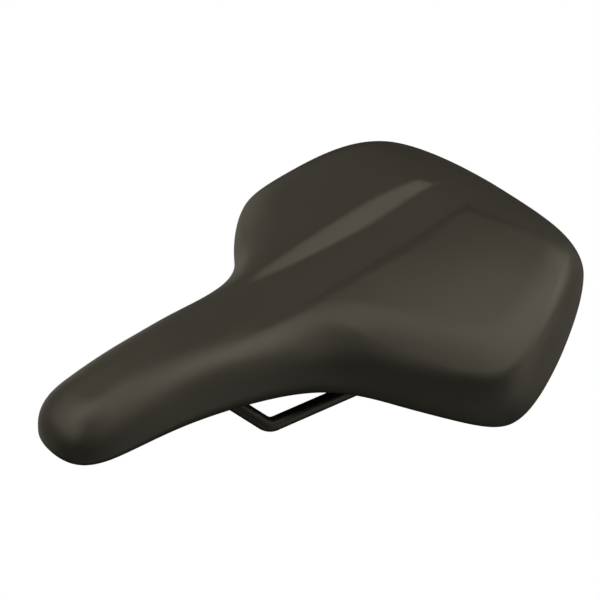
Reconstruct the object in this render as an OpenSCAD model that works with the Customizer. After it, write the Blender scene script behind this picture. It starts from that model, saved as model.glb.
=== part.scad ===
// Bicycle saddle: a moulded skin over foam on a dished base, carried by one bent wire rail
// and two rear elastomers. All sizes are in millimetres.
// +X runs to the nose, +Y to the rider's left and +Z up. The origin lies midway between the
// two rails, on their axes, at the middle of the straight stretch that a seatpost clamps.

/* [Seat] */
// Length from the rear edge to the nose tip
seat_length = 274; // [270:1:280]
// Width across the wings
seat_width = 197; // [197:1:200]
// Depth of the relief channel along the middle
channel_depth = 6.5; // [3:0.1:7]
// Distance from the middle line to the middle of a channel wall
channel_half_w = 16.7; // [15:0.1:18]
// How far the side walls are drawn in at the rim
side_tuck = 5.4; // [4:0.1:5.6]
// Thickness of the cover
cover_t = 1.2; // [0.8:0.1:1.4]
// Width of the cover's hem under the rim
hem_w = 6; // [5:0.5:6.5]

/* [Base] */
// Thickness of the moulded base
base_t = 3; // [2.6:0.1:3.2]
// Distance from the rim's outside to the base's edge
side_pad = 3.5; // [3:0.1:4]

/* [Rail] */
// Diameter of the rail wire
rail_d = 7; // [6.8:0.1:7.2]
// Distance between the axes of the two rails
rail_gauge = 44; // [42:1:46]
// Length of the straight stretch that a seatpost clamps
clamp_length = 88; // [84:1:90]
// Distance from the origin forward to the nose cross-bar
nose_x = 102; // [100:1:104]
// Height of the nose cross-bar above the straight stretch
nose_z = 22; // [21:0.5:23]

/* [Rear springs] */
// Distance between the axes of the two elastomers
spring_gauge = 84; // [82:1:88]
// Diameter of an elastomer
spring_d = 24; // [20:1:24]
// Height of an elastomer at rest
spring_h = 20; // [18:1:20]
// Diameter of the bolts through the elastomers
bolt_d = 5; // [4:0.5:5]

/* [Hidden] */
$fn = 64;

// Half of the plan outline as control points of a smooth closed curve, from the nose tip along
// the left side to the middle of the rear edge
plan = [
    [152.2, 0], [149.6, 15.3], [136, 25.3], [92, 25.6], [52.3, 31.1], [24.4, 39.4], [9.2, 57.2],
    [2.1, 70.3], [-24, 100.1], [-42.7, 98.2], [-70.9, 86.8], [-99.4, 71.7], [-115.6, 49.1],
    [-122.5, 25.2], [-122.2, 0]
];
plan_last = len(plan) - 1;

// Stations along the saddle, rear to nose, at which the section's sizes are given
station_x0 = -130;
station_step = 40;
// Height of the crown above the rails
crown_z = [44.5, 75.4, 70.1, 62.5, 53.7, 52, 49.1, 36.2];
// Drop of the top sheet from its crown to a point droop_reach to the side, the exponent of that
// curve and the half width over which it is blunted on the middle line
droop = [10.9, 10.7, 22.5, 26.4, 21.9, 11.2, 9.5, 10.9];
droop_reach = 100;
droop_power = 1.79;
droop_blunt = 12;
// Height of the lower rim
rim_z = [29.6, 16.4, -0.8, 11.4, 17.7, 19.2, 19.1, 13.4];
// Width and drop of the roll that leads the sheet into the shoulder, deepest at the waist
roll_w = [20, 20, 20, 28, 28, 20, 20, 20];
roll_h = [0.4, 3.6, 5.1, 5.6, 6.1, 0, 1, 0];
// Width and drop of the shoulder, narrow on the wings and full on the nose, the exponent by which it
// widens over its quarter turn and the one by which it drops, which would both be 1 on an ellipse
shoulder_w = [9.1, 7.4, 4.5, 4.8, 31.1, 19.6, 23.2, 23.3];
shoulder_h = [11.2, 14.5, 15.1, 9.3, 15.7, 21.8, 20.4, 16.7];
shoulder_round = [1.6, 1.55, 0.6, 0.85, 0.95, 0.65, 1, 1];
shoulder_turn = 0.74;
// Largest share of a spoke that the shoulder takes
shoulder_share = 0.8;
// Height of the base's crown
base_z = [48, 48, 48, 47, 43, 38, 36, 30];

// Relief channel: where it deepens behind the waist, where it rises again to the rear and by which
// share, and where and by how much its walls draw together
channel_front = [53, -16];
channel_rear = [-33, -100];
channel_rise = 0.84;
pinch_x = [-40, -90];
pinch = 2.9;
// Channel walls: width of a wall of no depth, width for each millimetre of depth, and the share of
// it over which their edges are rounded
wall_least = 1.5;
wall_run = 1.43;
wall_round = 0.18;
// Lower rear deck into which the channel runs out: depth, front edge and its lean to the rear, length
// and rounding of its slope, where it fades to the sides, and its blend with the channel
deck_depth = 2.7;
deck_x = -71.7;
deck_lean = 0.31;
deck_run = 12.6;
deck_round = 0.53;
deck_y = [15, 75];
deck_blend = 0.8;

// Spokes run from the middle line to the outline: their number on one side, how strongly those
// of the wings lean to the wings' middle, and the lengths over which they fan out at the ends
spokes_n = 30;
wing_x = -54;
wing_pull = 0.55;
wing_y = [30, 90];
fan_rear = 44;
fan_nose = 29;
fan_blend = 12;
shoulder_angles = [0, 30, 60, 90];
// Most of the flat part of a spoke that the channel's floor and its edge take, the shares of the rest
// at which the pad is drawn, the least width between floor and edge, and the least lean to the side
// by which a width is turned into a distance along a spoke
floor_share = 0.35;
edge_share = 0.65;
pad_shares = [0.35, 0.7];
wall_drawn = 6;
least_lean = 0.01;

// The base's dish: exponent of its section, and the shares of a spoke at which it is drawn
dish_power = 12;
dish_shares = [0.5, 0.75, 0.88, 0.96, 1];

// Gap kept between the faces of neighbouring pieces of the seat
seam = 0.1;
// Gap kept between pieces that move against each other
play = 0.3;
// How far a cut runs past the face that it opens
cut = 1;

// Rail: half gauge, bend radii, rear rise and splay, front leg and nose loop
rail_y = rail_gauge / 2;
rear_bend_r = 25;
front_bend_r = 8;
leg_bend_r = 12;
loop_bend_r = 7;
rear_rise = 14;
rear_splay = 5;
rear_leg = 48;
nose_y = 10;
front_leg = [22, nose_y - rail_y, nose_z];
rear_dir = [-cos(rear_rise) * cos(rear_splay), cos(rear_rise) * sin(rear_splay), sin(rear_rise)];
rear_bend = [-clamp_length / 2 - rear_bend_r * tan(turn([-1, 0, 0], rear_dir) / 2), rail_y, 0];
rear_end = rear_bend + rear_leg * rear_dir;
front_bend = [clamp_length / 2 + front_bend_r * tan(turn([1, 0, 0], front_leg) / 2), rail_y, 0];
rail_side = [rear_end, rear_bend, front_bend, front_bend + front_leg, [nose_x, nose_y, nose_z]];
rail_bends = [0, rear_bend_r, front_bend_r, leg_bend_r, loop_bend_r];
// The wire swells by a hair in its bends, and each straight run reaches a little way into them
bend_swell = 0.1;
bend_lap = 0.3;

// Nose pocket: sleeve round the cross-bar, block in the base, clip below and its two screws
bush_r = 5;
bush_w = 5.5;
pocket_l = 30;
pocket_w = 11;
clip_h = 9;
nose_screw_d = 4;
nose_screw_pitch = 21;
nose_screw_grip = 9;
nose_head_d = 7;
nose_head_h = 2.6;
hex_key = 4;
tip_gap = 1;

// Rear bridge, springs, bolts and inserts
spring_x = -84;
spring_y = spring_gauge / 2;
spring_bore_d = bolt_d + 3.6;
spring_waist = 1.5;
spring_waist_ends = [0.3, 0.42, 0.58, 0.7];
spring_z = 18;
boss_z = spring_z + spring_h;
boss_d = 22;
boss_reach = 20;
bridge_h = 12;
beam_w = 18;
beam_drop = 2;
beam_h = 8;
seat_lip = 1.5;
seat_lip_h = 1.5;
socket_d = 14;
socket_l = 23;
socket_wall = 3;
bolt_hole_d = bolt_d + 3;
bolt_head_d = 8.5;
bolt_head_h = 5;
washer_d = 14;
washer_t = 1.2;
washer_top = spring_z - bridge_h - play;
insert_d = 7;
insert_l = 7.5;

// Ribs under the base
rib_t = 2.5;
rib_drop = 7;
rib_long_y = 20;
rib_long_x = [-64, 8];
rib_cross_x = [-58, -34, -10];
rib_cross_w = 110;
rib_inset = 1;
rib_reach = 20;

// Staples through the hem
staple_l = 9;
staple_w = 1.2;
staple_h = 0.6;
staple_step = 2;

// Colours
skin_black = "#3a3730";
foam_grey = "#6b675e";
base_black = "#26251f";
rail_black = "#15140f";
steel = "#9a9a96";
brass = "#b08d4a";
elastomer_grey = "#4a4944";

// Plain maths

function clip(v, low, high) = max(low, min(high, v));

function soft_clip(v, low, high, r) =
    let (a = (v + low + sqrt(pow(v - low, 2) + r * r)) / 2)
    (a + high - sqrt(pow(a - high, 2) + r * r)) / 2;

function ramp(a, b, v) =
    let (t = clip((v - a) / (b - a), 0, 1))
    t * t * (3 - 2 * t);

function soft_max(a, b, r) = (a + b + sqrt(pow(a - b, 2) + r * r) - r) / 2;

function unit(v) = v / norm(v);

function turn(a, b) = acos(clip(unit(a) * unit(b), -1, 1));

function flip_y(p) = [p.x, -p.y, p.z];

// One span of a uniform cubic B-spline
function blend(a, b, c, d, f) =
    (pow(1 - f, 3) * a + (3 * pow(f, 3) - 6 * f * f + 4) * b
     + (-3 * pow(f, 3) + 3 * f * f + 3 * f + 1) * c + pow(f, 3) * d) / 6;

function at_station(list, x) =
    let (t = (x - station_x0) / station_step, i = floor(t), last = len(list) - 1)
    blend(list[clip(i - 1, 0, last)], list[clip(i, 0, last)],
          list[clip(i + 1, 0, last)], list[clip(i + 2, 0, last)], t - i);

// Plan outline

function plan_control(k) =
    k < 0 ? [plan[-k].x, -plan[-k].y]
    : k > plan_last ? [plan[2 * plan_last - k].x, -plan[2 * plan_last - k].y]
    : plan[k];

function plan_curve(u) =
    let (i = floor(u))
    blend(plan_control(i - 1), plan_control(i), plan_control(i + 1), plan_control(i + 2), u - i);

plan_step = 0.125;
plan_stretch_x = seat_length / (plan_curve(0).x - plan_curve(plan_last).x);
plan_stretch_y = seat_width / 2 / max([for (u = [0 : plan_step : plan_last]) plan_curve(u).y]);

function plan_point(u) =
    let (p = plan_curve(u))
    [p.x * plan_stretch_x, p.y * plan_stretch_y];

nose_tip_x = plan_point(0).x;
rear_edge_x = plan_point(plan_last).x;

// Top sheet

function channel_drop(x) =
    channel_depth * ramp(channel_front[0], channel_front[1], x)
    * (1 - channel_rise * ramp(channel_rear[0], channel_rear[1], x));

function channel_wall(x) = wall_least + wall_run * channel_drop(x);

function channel_middle(x) = channel_half_w - pinch * ramp(pinch_x[0], pinch_x[1], x);

function recess(x, side) =
    let (run = channel_wall(x), middle = channel_middle(x),
         channel = channel_drop(x) * soft_clip((middle + run / 2 - side) / run, 0, 1, wall_round),
         edge = deck_x + deck_run / 2 - deck_lean * (side - middle),
         deck = deck_depth * (1 - ramp(deck_y[0], deck_y[1], side))
                * soft_clip((edge - x) / deck_run, 0, 1, deck_round))
    soft_max(channel, deck, deck_blend);

function droop_share(y) =
    (pow(y * y + droop_blunt * droop_blunt, droop_power / 2) - pow(droop_blunt, droop_power))
    / pow(droop_reach, droop_power);

function top_z(x, y) =
    at_station(crown_z, x) - at_station(droop, x) * droop_share(y) - recess(x, abs(y));

// Spokes: [start on the middle line, x and y of the direction, length, shoulder width, shoulder
// drop, rim height, roll width, roll drop, shoulder roundness]

function spoke(u) =
    let (p = plan_point(u),
         lean = (p.x - wing_x) * wing_pull * ramp(wing_y[0], wing_y[1], p.y),
         start = soft_clip(p.x - lean, rear_edge_x + fan_rear, nose_tip_x - fan_nose, fan_blend),
         length = norm([p.x - start, p.y]))
    [start, (p.x - start) / length, p.y / length, length,
     min(at_station(shoulder_w, p.x), shoulder_share * length),
     at_station(shoulder_h, p.x), at_station(rim_z, p.x),
     at_station(roll_w, p.x), at_station(roll_h, p.x), at_station(shoulder_round, p.x)];

function along(s, d) = [s[0] + s[1] * d, s[2] * d];

spokes = [for (i = [0 : spokes_n]) spoke(i * plan_last / spokes_n)];

function sheet_z(s, d) =
    let (p = along(s, d), share = clip(1 - (s[3] - d) / s[7], 0, 1))
    top_z(p.x, p.y) - s[8] * share * share;

function top_point(s, d, inset) = [each along(s, d), sheet_z(s, d) - inset];

function shoulder_point(s, angle, inset) =
    let (d = s[3] - s[4] * (1 - pow(sin(angle), s[9])),
         drop = s[5] * (1 - pow(cos(angle), shoulder_turn)))
    [each along(s, d - inset * sin(angle)), sheet_z(s, d) - drop - inset * cos(angle)];

function rim_point(s, inset, rise) =
    let (p = along(s, s[3] - side_tuck - inset))
    [p.x, p.y, s[6] + rise];

// A spoke's points from the channel's floor to the rim, on the skin's outside drawn in by inset
function skin_points(s, inset) =
    let (flat = s[3] - s[4], lean = max(s[2], least_lean),
         middle = channel_middle(s[0]), half = max(channel_wall(s[0]), wall_drawn) / 2,
         floor_d = min((middle - half) / lean, floor_share * flat),
         edge_d = min((middle + half) / lean, edge_share * flat))
    [each [for (d = [floor_d, edge_d]) top_point(s, d, inset)],
     each [for (q = pad_shares) top_point(s, edge_d + q * (flat - edge_d), inset)],
     each [for (a = shoulder_angles) shoulder_point(s, a, inset)],
     rim_point(s, inset, inset)];

skin_n = len(skin_points(spokes[0], 0));

// The base's dish: edge radius on a spoke, height of its underside there and points of a face

function dish_edge(s) = s[3] - side_tuck - side_pad;

function dish_rim(s) = s[6] + cover_t + seam;

function dish_point(s, share, edge_d, edge_z, sink, rise) =
    let (p = along(s, share * edge_d))
    [p.x, p.y, rise + edge_z + (at_station(base_z, p.x) - sink - edge_z) * (1 - pow(share, dish_power))];

function dish_top(s, rise) =
    [for (q = dish_shares) dish_point(s, q, dish_edge(s), dish_rim(s) + base_t, 0, rise)];

function dish_under(s) =
    [for (q = dish_shares) dish_point(s, q, dish_edge(s) - base_t, dish_rim(s), base_t, 0)];

function reversed(list) = [for (i = [len(list) - 1 : -1 : 0]) list[i]];

// Closed solids from sections: each section runs from the top face's middle over the edge to the
// underside's middle, one for each spoke of the left side, and turns under at its point fold

function ring(sections, j) = [
    each [for (i = [0 : spokes_n]) sections[i][j]],
    each [for (i = [spokes_n - 1 : -1 : 1]) flip_y(sections[i][j])]
];

// Faces between rings j and j + 1. Each quad is cut so that both sides of the saddle mirror each
// other, and so that an underside, from ring fold on, is cut as the top face over it
function side_faces(j, n, fold) = [
    for (k = [0 : n - 1])
        let (a = j * n + k, b = j * n + (k + 1) % n, swap = (k < n / 2) == (j < fold))
        each swap ? [[a, b + n, a + n], [a, b, b + n]] : [[a, b, a + n], [b, b + n, a + n]]
];

// Faces across a ring, from each left point to its mirror image
function cap_faces(first, n, down) = [
    for (k = [0 : n / 2 - 1])
        let (a = first + k, b = a + 1, c = first + (n - k) % n, d = first + n - k - 1)
        each [
            if (k > 0) down ? [a, d, c] : [a, c, d],
            if (k < n / 2 - 1 || d != b) down ? [a, b, d] : [a, d, b]
        ]
];

module spoke_solid(sections, fold) {
    n = 2 * spokes_n;
    rings_n = len(sections[0]);
    polyhedron(
        points = [for (j = [0 : rings_n - 1]) each ring(sections, j)],
        faces = [
            each cap_faces(0, n, false),
            each [for (j = [0 : rings_n - 2]) each side_faces(j, n, fold)],
            each cap_faces((rings_n - 1) * n, n, true)
        ]
    );
}

// Wire along a path of straight runs and round bends

module rod(from, to, d) {
    v = to - from;
    translate(from)
        rotate([0, acos(v.z / norm(v)), atan2(v.y, v.x)])
            cylinder(d = d, h = norm(v));
}

module elbow(corner, before, after, r, d) {
    angle = turn(before, after);
    u = unit(before);
    inward = unit(unit(after) - (u * unit(after)) * u);
    side = cross(-inward, u);
    centre = corner - r * tan(angle / 2) * u + r * inward;
    multmatrix([
        [-inward.x, u.x, side.x, centre.x],
        [-inward.y, u.y, side.y, centre.y],
        [-inward.z, u.z, side.z, centre.z],
        [0, 0, 0, 1]
    ])
        rotate_extrude(angle = angle)
            translate([r, 0])
                circle(d = d);
}

module wire(path, bends, d) {
    last = len(path) - 1;
    trims = [
        for (i = [0 : last])
            i == 0 || i == last ? 0
            : bends[i] * tan(turn(path[i] - path[i - 1], path[i + 1] - path[i]) / 2) - bend_lap
    ];
    for (i = [0 : last - 1]) {
        v = unit(path[i + 1] - path[i]);
        rod(path[i] + trims[i] * v, path[i + 1] - trims[i + 1] * v, d);
    }
    for (i = [1 : last - 1])
        elbow(path[i], path[i] - path[i - 1], path[i + 1] - path[i], bends[i], d + bend_swell);
}

module both_sides() {
    children();
    mirror([0, 1, 0]) children();
}

// Places its children at each spring's axis
module at_springs() {
    both_sides() translate([spring_x, spring_y, 0]) children();
}

// Places its children at each nose screw's axis
module at_nose_screws() {
    for (dx = [-1, 1])
        translate([nose_x + dx * nose_screw_pitch / 2, 0, 0]) children();
}

module tube(outer_d, inner_d, h) {
    difference() {
        cylinder(d = outer_d, h = h);
        translate([0, 0, -cut]) cylinder(d = inner_d, h = h + 2 * cut);
    }
}

// Cap screw with its head's underside at z = 0, the head below and the shank above
module cap_screw(d, length, head_d, head_h) {
    difference() {
        union() {
            cylinder(d = d, h = length);
            translate([0, 0, -head_h]) cylinder(d = head_d, h = head_h);
        }
        translate([0, 0, -head_h - cut])
            cylinder(d = hex_key / cos(30), h = head_h / 2 + cut, $fn = 6);
    }
}

module cross_bar_bore(d, w) {
    translate([nose_x, w / 2, nose_z]) rotate([90, 0, 0]) cylinder(d = d, h = w);
}

// Sub-parts of the seat

module cover() {
    color(skin_black)
        spoke_solid([
            for (s = spokes) [
                each skin_points(s, 0),
                rim_point(s, hem_w, 0),
                rim_point(s, hem_w, cover_t),
                each reversed(skin_points(s, cover_t))
            ]
        ], skin_n);
}

module foam_pad() {
    color(foam_grey)
        spoke_solid([
            for (s = spokes) [
                each skin_points(s, cover_t + seam),
                rim_point(s, side_pad - seam, cover_t + seam),
                rim_point(s, side_pad - seam, cover_t + base_t + 2 * seam),
                each reversed([for (i = [0 : len(dish_shares) - 2]) dish_top(s, seam)[i]])
            ]
        ], skin_n);
}

// Everything below the base's top face, drawn in by rib_inset
module under_dish() {
    spoke_solid([
        for (s = spokes) [
            each dish_top(s, -rib_inset),
            [each along(s, dish_edge(s)), 0]
        ]
    ], len(dish_shares));
}

module base_ribs() {
    rib_z = at_station(base_z, spring_x) - base_t - rib_drop;
    for (y = [-rib_long_y, rib_long_y])
        translate([rib_long_x[0], y - rib_t / 2, rib_z])
            cube([rib_long_x[1] - rib_long_x[0], rib_t, rib_reach]);
    for (x = rib_cross_x)
        translate([x - rib_t / 2, -rib_cross_w / 2, rib_z])
            cube([rib_t, rib_cross_w, rib_reach]);
}

module nose_pocket() {
    translate([nose_x - pocket_l / 2, -pocket_w / 2, nose_z + seam])
        cube([pocket_l, pocket_w, boss_reach]);
}

module base_shell() {
    color(base_black)
        difference() {
            union() {
                spoke_solid([
                    for (s = spokes) [
                        each dish_top(s, 0),
                        rim_point(s, side_pad, cover_t + seam),
                        each reversed(dish_under(s))
                    ]
                ], len(dish_shares));
                intersection() {
                    under_dish();
                    union() {
                        base_ribs();
                        nose_pocket();
                        at_springs() translate([0, 0, boss_z]) cylinder(d = boss_d, h = boss_reach);
                    }
                }
            }
            cross_bar_bore(2 * bush_r, pocket_w + 2 * cut);
            at_nose_screws() cylinder(d = nose_screw_d, h = nose_z + nose_screw_grip);
            at_springs() translate([0, 0, boss_z - cut]) cylinder(d = insert_d, h = insert_l + cut);
        }
}

// One staple lies along each second side of the hem, under the base's edge and clear of the ends
module cover_staples() {
    color(steel)
        both_sides()
            for (i = [1 : staple_step : spokes_n - 2]) {
                inset = side_pad + base_t / 2;
                a = rim_point(spokes[i], inset, 0);
                b = rim_point(spokes[i + 1], inset, 0);
                v = b - a;
                translate((a + b) / 2)
                    rotate([0, -asin(v.z / norm(v)), atan2(v.y, v.x)])
                        translate([-staple_l / 2, -staple_w / 2, -staple_h - seam])
                            cube([staple_l, staple_w, staple_h]);
            }
}

module nose_bush() {
    difference() {
        cross_bar_bore(2 * bush_r, bush_w);
        cross_bar_bore(rail_d + 2 * seam, bush_w + 2 * cut);
    }
}

module nose_half(above) {
    intersection() {
        children();
        translate([nose_x - pocket_l / 2, -pocket_w / 2, above ? nose_z : nose_z - pocket_l])
            cube([pocket_l, pocket_w, pocket_l]);
    }
}

module nose_bush_upper() {
    color(elastomer_grey) nose_half(true) nose_bush();
}

module nose_bush_lower() {
    color(elastomer_grey) nose_half(false) nose_bush();
}

module nose_clip() {
    color(base_black)
        difference() {
            translate([nose_x - pocket_l / 2, -pocket_w / 2, nose_z - clip_h])
                cube([pocket_l, pocket_w, clip_h - seam]);
            cross_bar_bore(2 * bush_r, pocket_w + 2 * cut);
            at_nose_screws() cylinder(d = nose_screw_d + 2 * seam, h = nose_z);
        }
}

module nose_screws() {
    color(steel)
        at_nose_screws()
            translate([0, 0, nose_z - clip_h])
                cap_screw(nose_screw_d, clip_h + nose_screw_grip - tip_gap, nose_head_d, nose_head_h);
}

module spring_bolts() {
    bolt_z = washer_top - washer_t;
    color(steel)
        at_springs()
            translate([0, 0, bolt_z])
                cap_screw(bolt_d, boss_z + insert_l - tip_gap - bolt_z, bolt_head_d, bolt_head_h);
}

module bolt_washers() {
    color(steel)
        at_springs()
            translate([0, 0, washer_top - washer_t])
                tube(washer_d, bolt_d + 2 * seam, washer_t);
}

module insert_nuts() {
    color(brass)
        at_springs()
            translate([0, 0, boss_z + seam])
                tube(insert_d, bolt_d, insert_l - seam);
}

// Sub-parts of the rail frame

module rail() {
    color(rail_black)
        wire(
            [each rail_side, each [for (p = reversed(rail_side)) flip_y(p)]],
            [each rail_bends, each reversed(rail_bends)],
            rail_d
        );
}

module rear_bridge() {
    color(base_black)
        difference() {
            union() {
                translate([spring_x - beam_w / 2, -spring_y, spring_z - beam_drop - beam_h])
                    cube([beam_w, spring_gauge, beam_h]);
                at_springs() {
                    translate([0, 0, spring_z - bridge_h])
                        cylinder(d = spring_d + 2 * seat_lip, h = bridge_h);
                    translate([0, 0, spring_z - cut])
                        tube(spring_d + 2 * seat_lip, spring_d + 2 * seam, cut + seat_lip_h);
                }
                both_sides()
                    rod(rear_end - socket_l * rear_dir, rear_end + socket_wall * rear_dir, socket_d);
            }
            both_sides() rod(rear_end - 2 * socket_l * rear_dir, rear_end, rail_d);
            at_springs() cylinder(d = bolt_hole_d, h = spring_z + cut);
        }
}

// Elastomer: a sleeve with a waist at mid height
module elastomer() {
    out = spring_d / 2;
    bore = spring_bore_d / 2;
    top = spring_h - play;
    waist = [for (share = spring_waist_ends) share * spring_h];
    translate([spring_x, 0, spring_z + seam])
        rotate_extrude()
            polygon([
                [bore, 0], [out, 0], [out, waist[0]],
                [out - spring_waist, waist[1]], [out - spring_waist, waist[2]],
                [out, waist[3]], [out, top], [bore, top]
            ]);
}

module elastomer_left() {
    color(elastomer_grey) translate([0, spring_y, 0]) elastomer();
}

module elastomer_right() {
    color(elastomer_grey) translate([0, -spring_y, 0]) elastomer();
}

cover();
foam_pad();
base_shell();
cover_staples();
nose_bush_upper();
nose_bush_lower();
nose_clip();
nose_screws();
spring_bolts();
bolt_washers();
insert_nuts();
rail();
rear_bridge();
elastomer_left();
elastomer_right();
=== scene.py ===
"""Looks of a bicycle saddle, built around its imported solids.

The seat is a thermoformed skin over moulded foam on a ribbed base. It rests on a bent wire rail at
the nose and on two elastomers at the rear. Sizes are in millimetres in the frame of the solids, with
+X to the nose, +Y to the rider's left and +Z up, and every mesh is written in metres.
"""

import logging
import math
from collections.abc import Mapping, Sequence
from dataclasses import dataclass, field
from enum import Enum
from typing import Any

import bmesh
import bpy
import numpy as np
from bpy.types import Material, Mesh, Node, NodeSocket, NodeTree, Object
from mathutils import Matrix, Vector
from mathutils.bvhtree import BVHTree


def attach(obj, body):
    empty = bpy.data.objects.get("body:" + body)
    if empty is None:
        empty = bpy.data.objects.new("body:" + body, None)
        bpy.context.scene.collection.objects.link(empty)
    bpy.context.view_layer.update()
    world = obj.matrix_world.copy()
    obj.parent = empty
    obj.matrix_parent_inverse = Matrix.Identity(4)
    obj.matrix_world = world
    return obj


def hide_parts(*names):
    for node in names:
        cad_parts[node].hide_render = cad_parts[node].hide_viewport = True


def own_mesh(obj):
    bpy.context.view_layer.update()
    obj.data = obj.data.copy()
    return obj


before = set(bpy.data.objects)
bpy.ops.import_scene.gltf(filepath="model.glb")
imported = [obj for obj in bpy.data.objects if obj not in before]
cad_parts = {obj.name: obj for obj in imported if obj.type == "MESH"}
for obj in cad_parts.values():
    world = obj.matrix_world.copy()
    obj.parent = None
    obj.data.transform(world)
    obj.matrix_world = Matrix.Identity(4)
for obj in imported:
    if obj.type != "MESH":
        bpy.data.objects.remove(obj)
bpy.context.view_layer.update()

MM = 0.001
MIRROR = np.array([1.0, -1.0, 1.0])
LOG = logging.getLogger("saddle")
Corner = tuple[tuple[float, float], ...]


class Body(Enum):
    """The two bodies that move against each other."""

    SEAT = "seat"
    RAIL_FRAME = "rail_frame"


class Slot(Enum):
    """The record's material slots."""

    SKIN = "cover_skin"
    FOAM = "foam"
    PLASTIC = "moulded_plastic"
    PAINT = "black_paint"
    STEEL = "steel"
    BRASS = "brass"
    RUBBER = "grey_rubber"


class Cut(Enum):
    """Ways to combine two closed meshes."""

    JOIN = "UNION"
    TAKE_AWAY = "DIFFERENCE"


# Plain maths


def ramp(low: Any, high: Any, value: Any) -> Any:
    """Smooth step of a number or array, from 0 at low to 1 at high."""
    t = np.clip((value - low) / (high - low), 0.0, 1.0)
    return t * t * (3.0 - 2.0 * t)


def soft_clip(value: Any, low: float, high: float, width: float) -> Any:
    """Number or array kept between two limits, whose corners are rounded over a width."""
    lifted = (value + low + np.sqrt((value - low) ** 2 + width**2)) / 2.0
    return (lifted + high - np.sqrt((lifted - high) ** 2 + width**2)) / 2.0


def soft_max(a: Any, b: Any, width: float) -> Any:
    """Larger of two values, with the change from one to the other rounded over a width."""
    return (a + b + np.sqrt((a - b) ** 2 + width**2) - width) / 2.0


def cubic_span(a: Any, b: Any, c: Any, d: Any, f: Any) -> Any:
    """Uniform cubic B-spline of four control values, at a share f of its span from 0 to 1."""
    first = (1 - f) ** 3 * a + (3 * f**3 - 6 * f**2 + 4) * b
    return (first + (-3 * f**3 + 3 * f**2 + 3 * f + 1) * c + f**3 * d) / 6.0


def filleted(path: Sequence[Sequence[float]], radii: Sequence[float], step: float = 4.0) -> np.ndarray:
    """Points along a path of straight runs with round bends.

    Args:
        path: Corner points.
        radii: Bend radius at each corner, which isn't used at the two ends.
        step: Angle between points of a bend, in degrees.

    Returns:
        Points in order, one row each.
    """
    points = [np.asarray(p, float) for p in path]
    line = [points[0]]
    for before, corner, after, radius in zip(points, points[1:], points[2:], radii[1:]):
        u = (corner - before) / np.linalg.norm(corner - before)
        w = (after - corner) / np.linalg.norm(after - corner)
        angle = math.acos(float(np.clip(u @ w, -1.0, 1.0)))
        inward = (w - (u @ w) * u) / np.linalg.norm(w - (u @ w) * u)
        start = corner - radius * math.tan(angle / 2) * u
        count = max(2, math.ceil(math.degrees(angle) / step))
        for turn in np.linspace(0.0, angle, count + 1):
            line.append(start + radius * (math.sin(turn) * u + (1 - math.cos(turn)) * inward))
    return np.array([*line, points[-1]])


# Meshes


def add_object(name: str, data: bpy.types.ID) -> Object:
    """Links a mesh, camera or lamp to the scene as an object at the origin.

    Args:
        name: Name of the object.
        data: What it shows, in metres.

    Returns:
        The new object.
    """
    piece = bpy.data.objects.new(name, data)
    bpy.context.scene.collection.objects.link(piece)
    return piece


def discard(piece: Object) -> None:
    """Deletes an object and its mesh.

    Args:
        piece: Object that is done with.
    """
    mesh = piece.data
    bpy.data.objects.remove(piece)
    bpy.data.meshes.remove(mesh)


def made(name: str, maker: bmesh.types.BMesh) -> Object:
    """Turns what a mesh maker holds into an object, and frees the maker.

    Args:
        name: Name of the piece.
        maker: Its faces, in metres.

    Returns:
        The new object.
    """
    mesh = bpy.data.meshes.new(name)
    maker.to_mesh(mesh)
    maker.free()
    return add_object(name, mesh)


def mesh_from(name: str, points: np.ndarray, faces: Sequence[Sequence[int]]) -> Mesh:
    """A mesh from points in millimetres.

    Args:
        name: Name of the mesh.
        points: One row for each point.
        faces: Point numbers of each face.

    Returns:
        The mesh, in metres.
    """
    mesh = bpy.data.meshes.new(name)
    mesh.from_pydata((np.asarray(points) * MM).tolist(), [], [list(f) for f in faces])
    mesh.update()
    return mesh


def shade(piece: Object, crease: float = 35.0) -> None:
    """Smooth shading, with edges kept sharp above an angle in degrees."""
    piece.data.shade_smooth()
    piece.data.set_sharp_from_angle(angle=math.radians(crease))


def applied(piece: Object) -> Object:
    """Turns what an object's modifiers make into its plain mesh.

    Args:
        piece: Object with modifiers.

    Returns:
        The same object, with no modifiers.
    """
    graph = bpy.context.evaluated_depsgraph_get()
    mesh = bpy.data.meshes.new_from_object(piece.evaluated_get(graph), depsgraph=graph)
    piece.modifiers.clear()
    old, piece.data = piece.data, mesh
    mesh.name = piece.name
    bpy.data.meshes.remove(old)
    return piece


def combined(piece: Object, tools: Sequence[Object], cut: Cut) -> Object:
    """Joins closed meshes to a piece, or takes them away from it.

    Args:
        piece: Closed mesh that is changed.
        tools: Closed meshes, which are deleted afterwards.
        cut: Whether they are joined or taken away.

    Returns:
        The changed piece.
    """
    for tool in tools:
        modifier = piece.modifiers.new("combine", "BOOLEAN")
        modifier.operation = cut.value
        modifier.solver = "MANIFOLD"
        modifier.object = tool
        applied(piece)
        discard(tool)
    return piece


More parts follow.
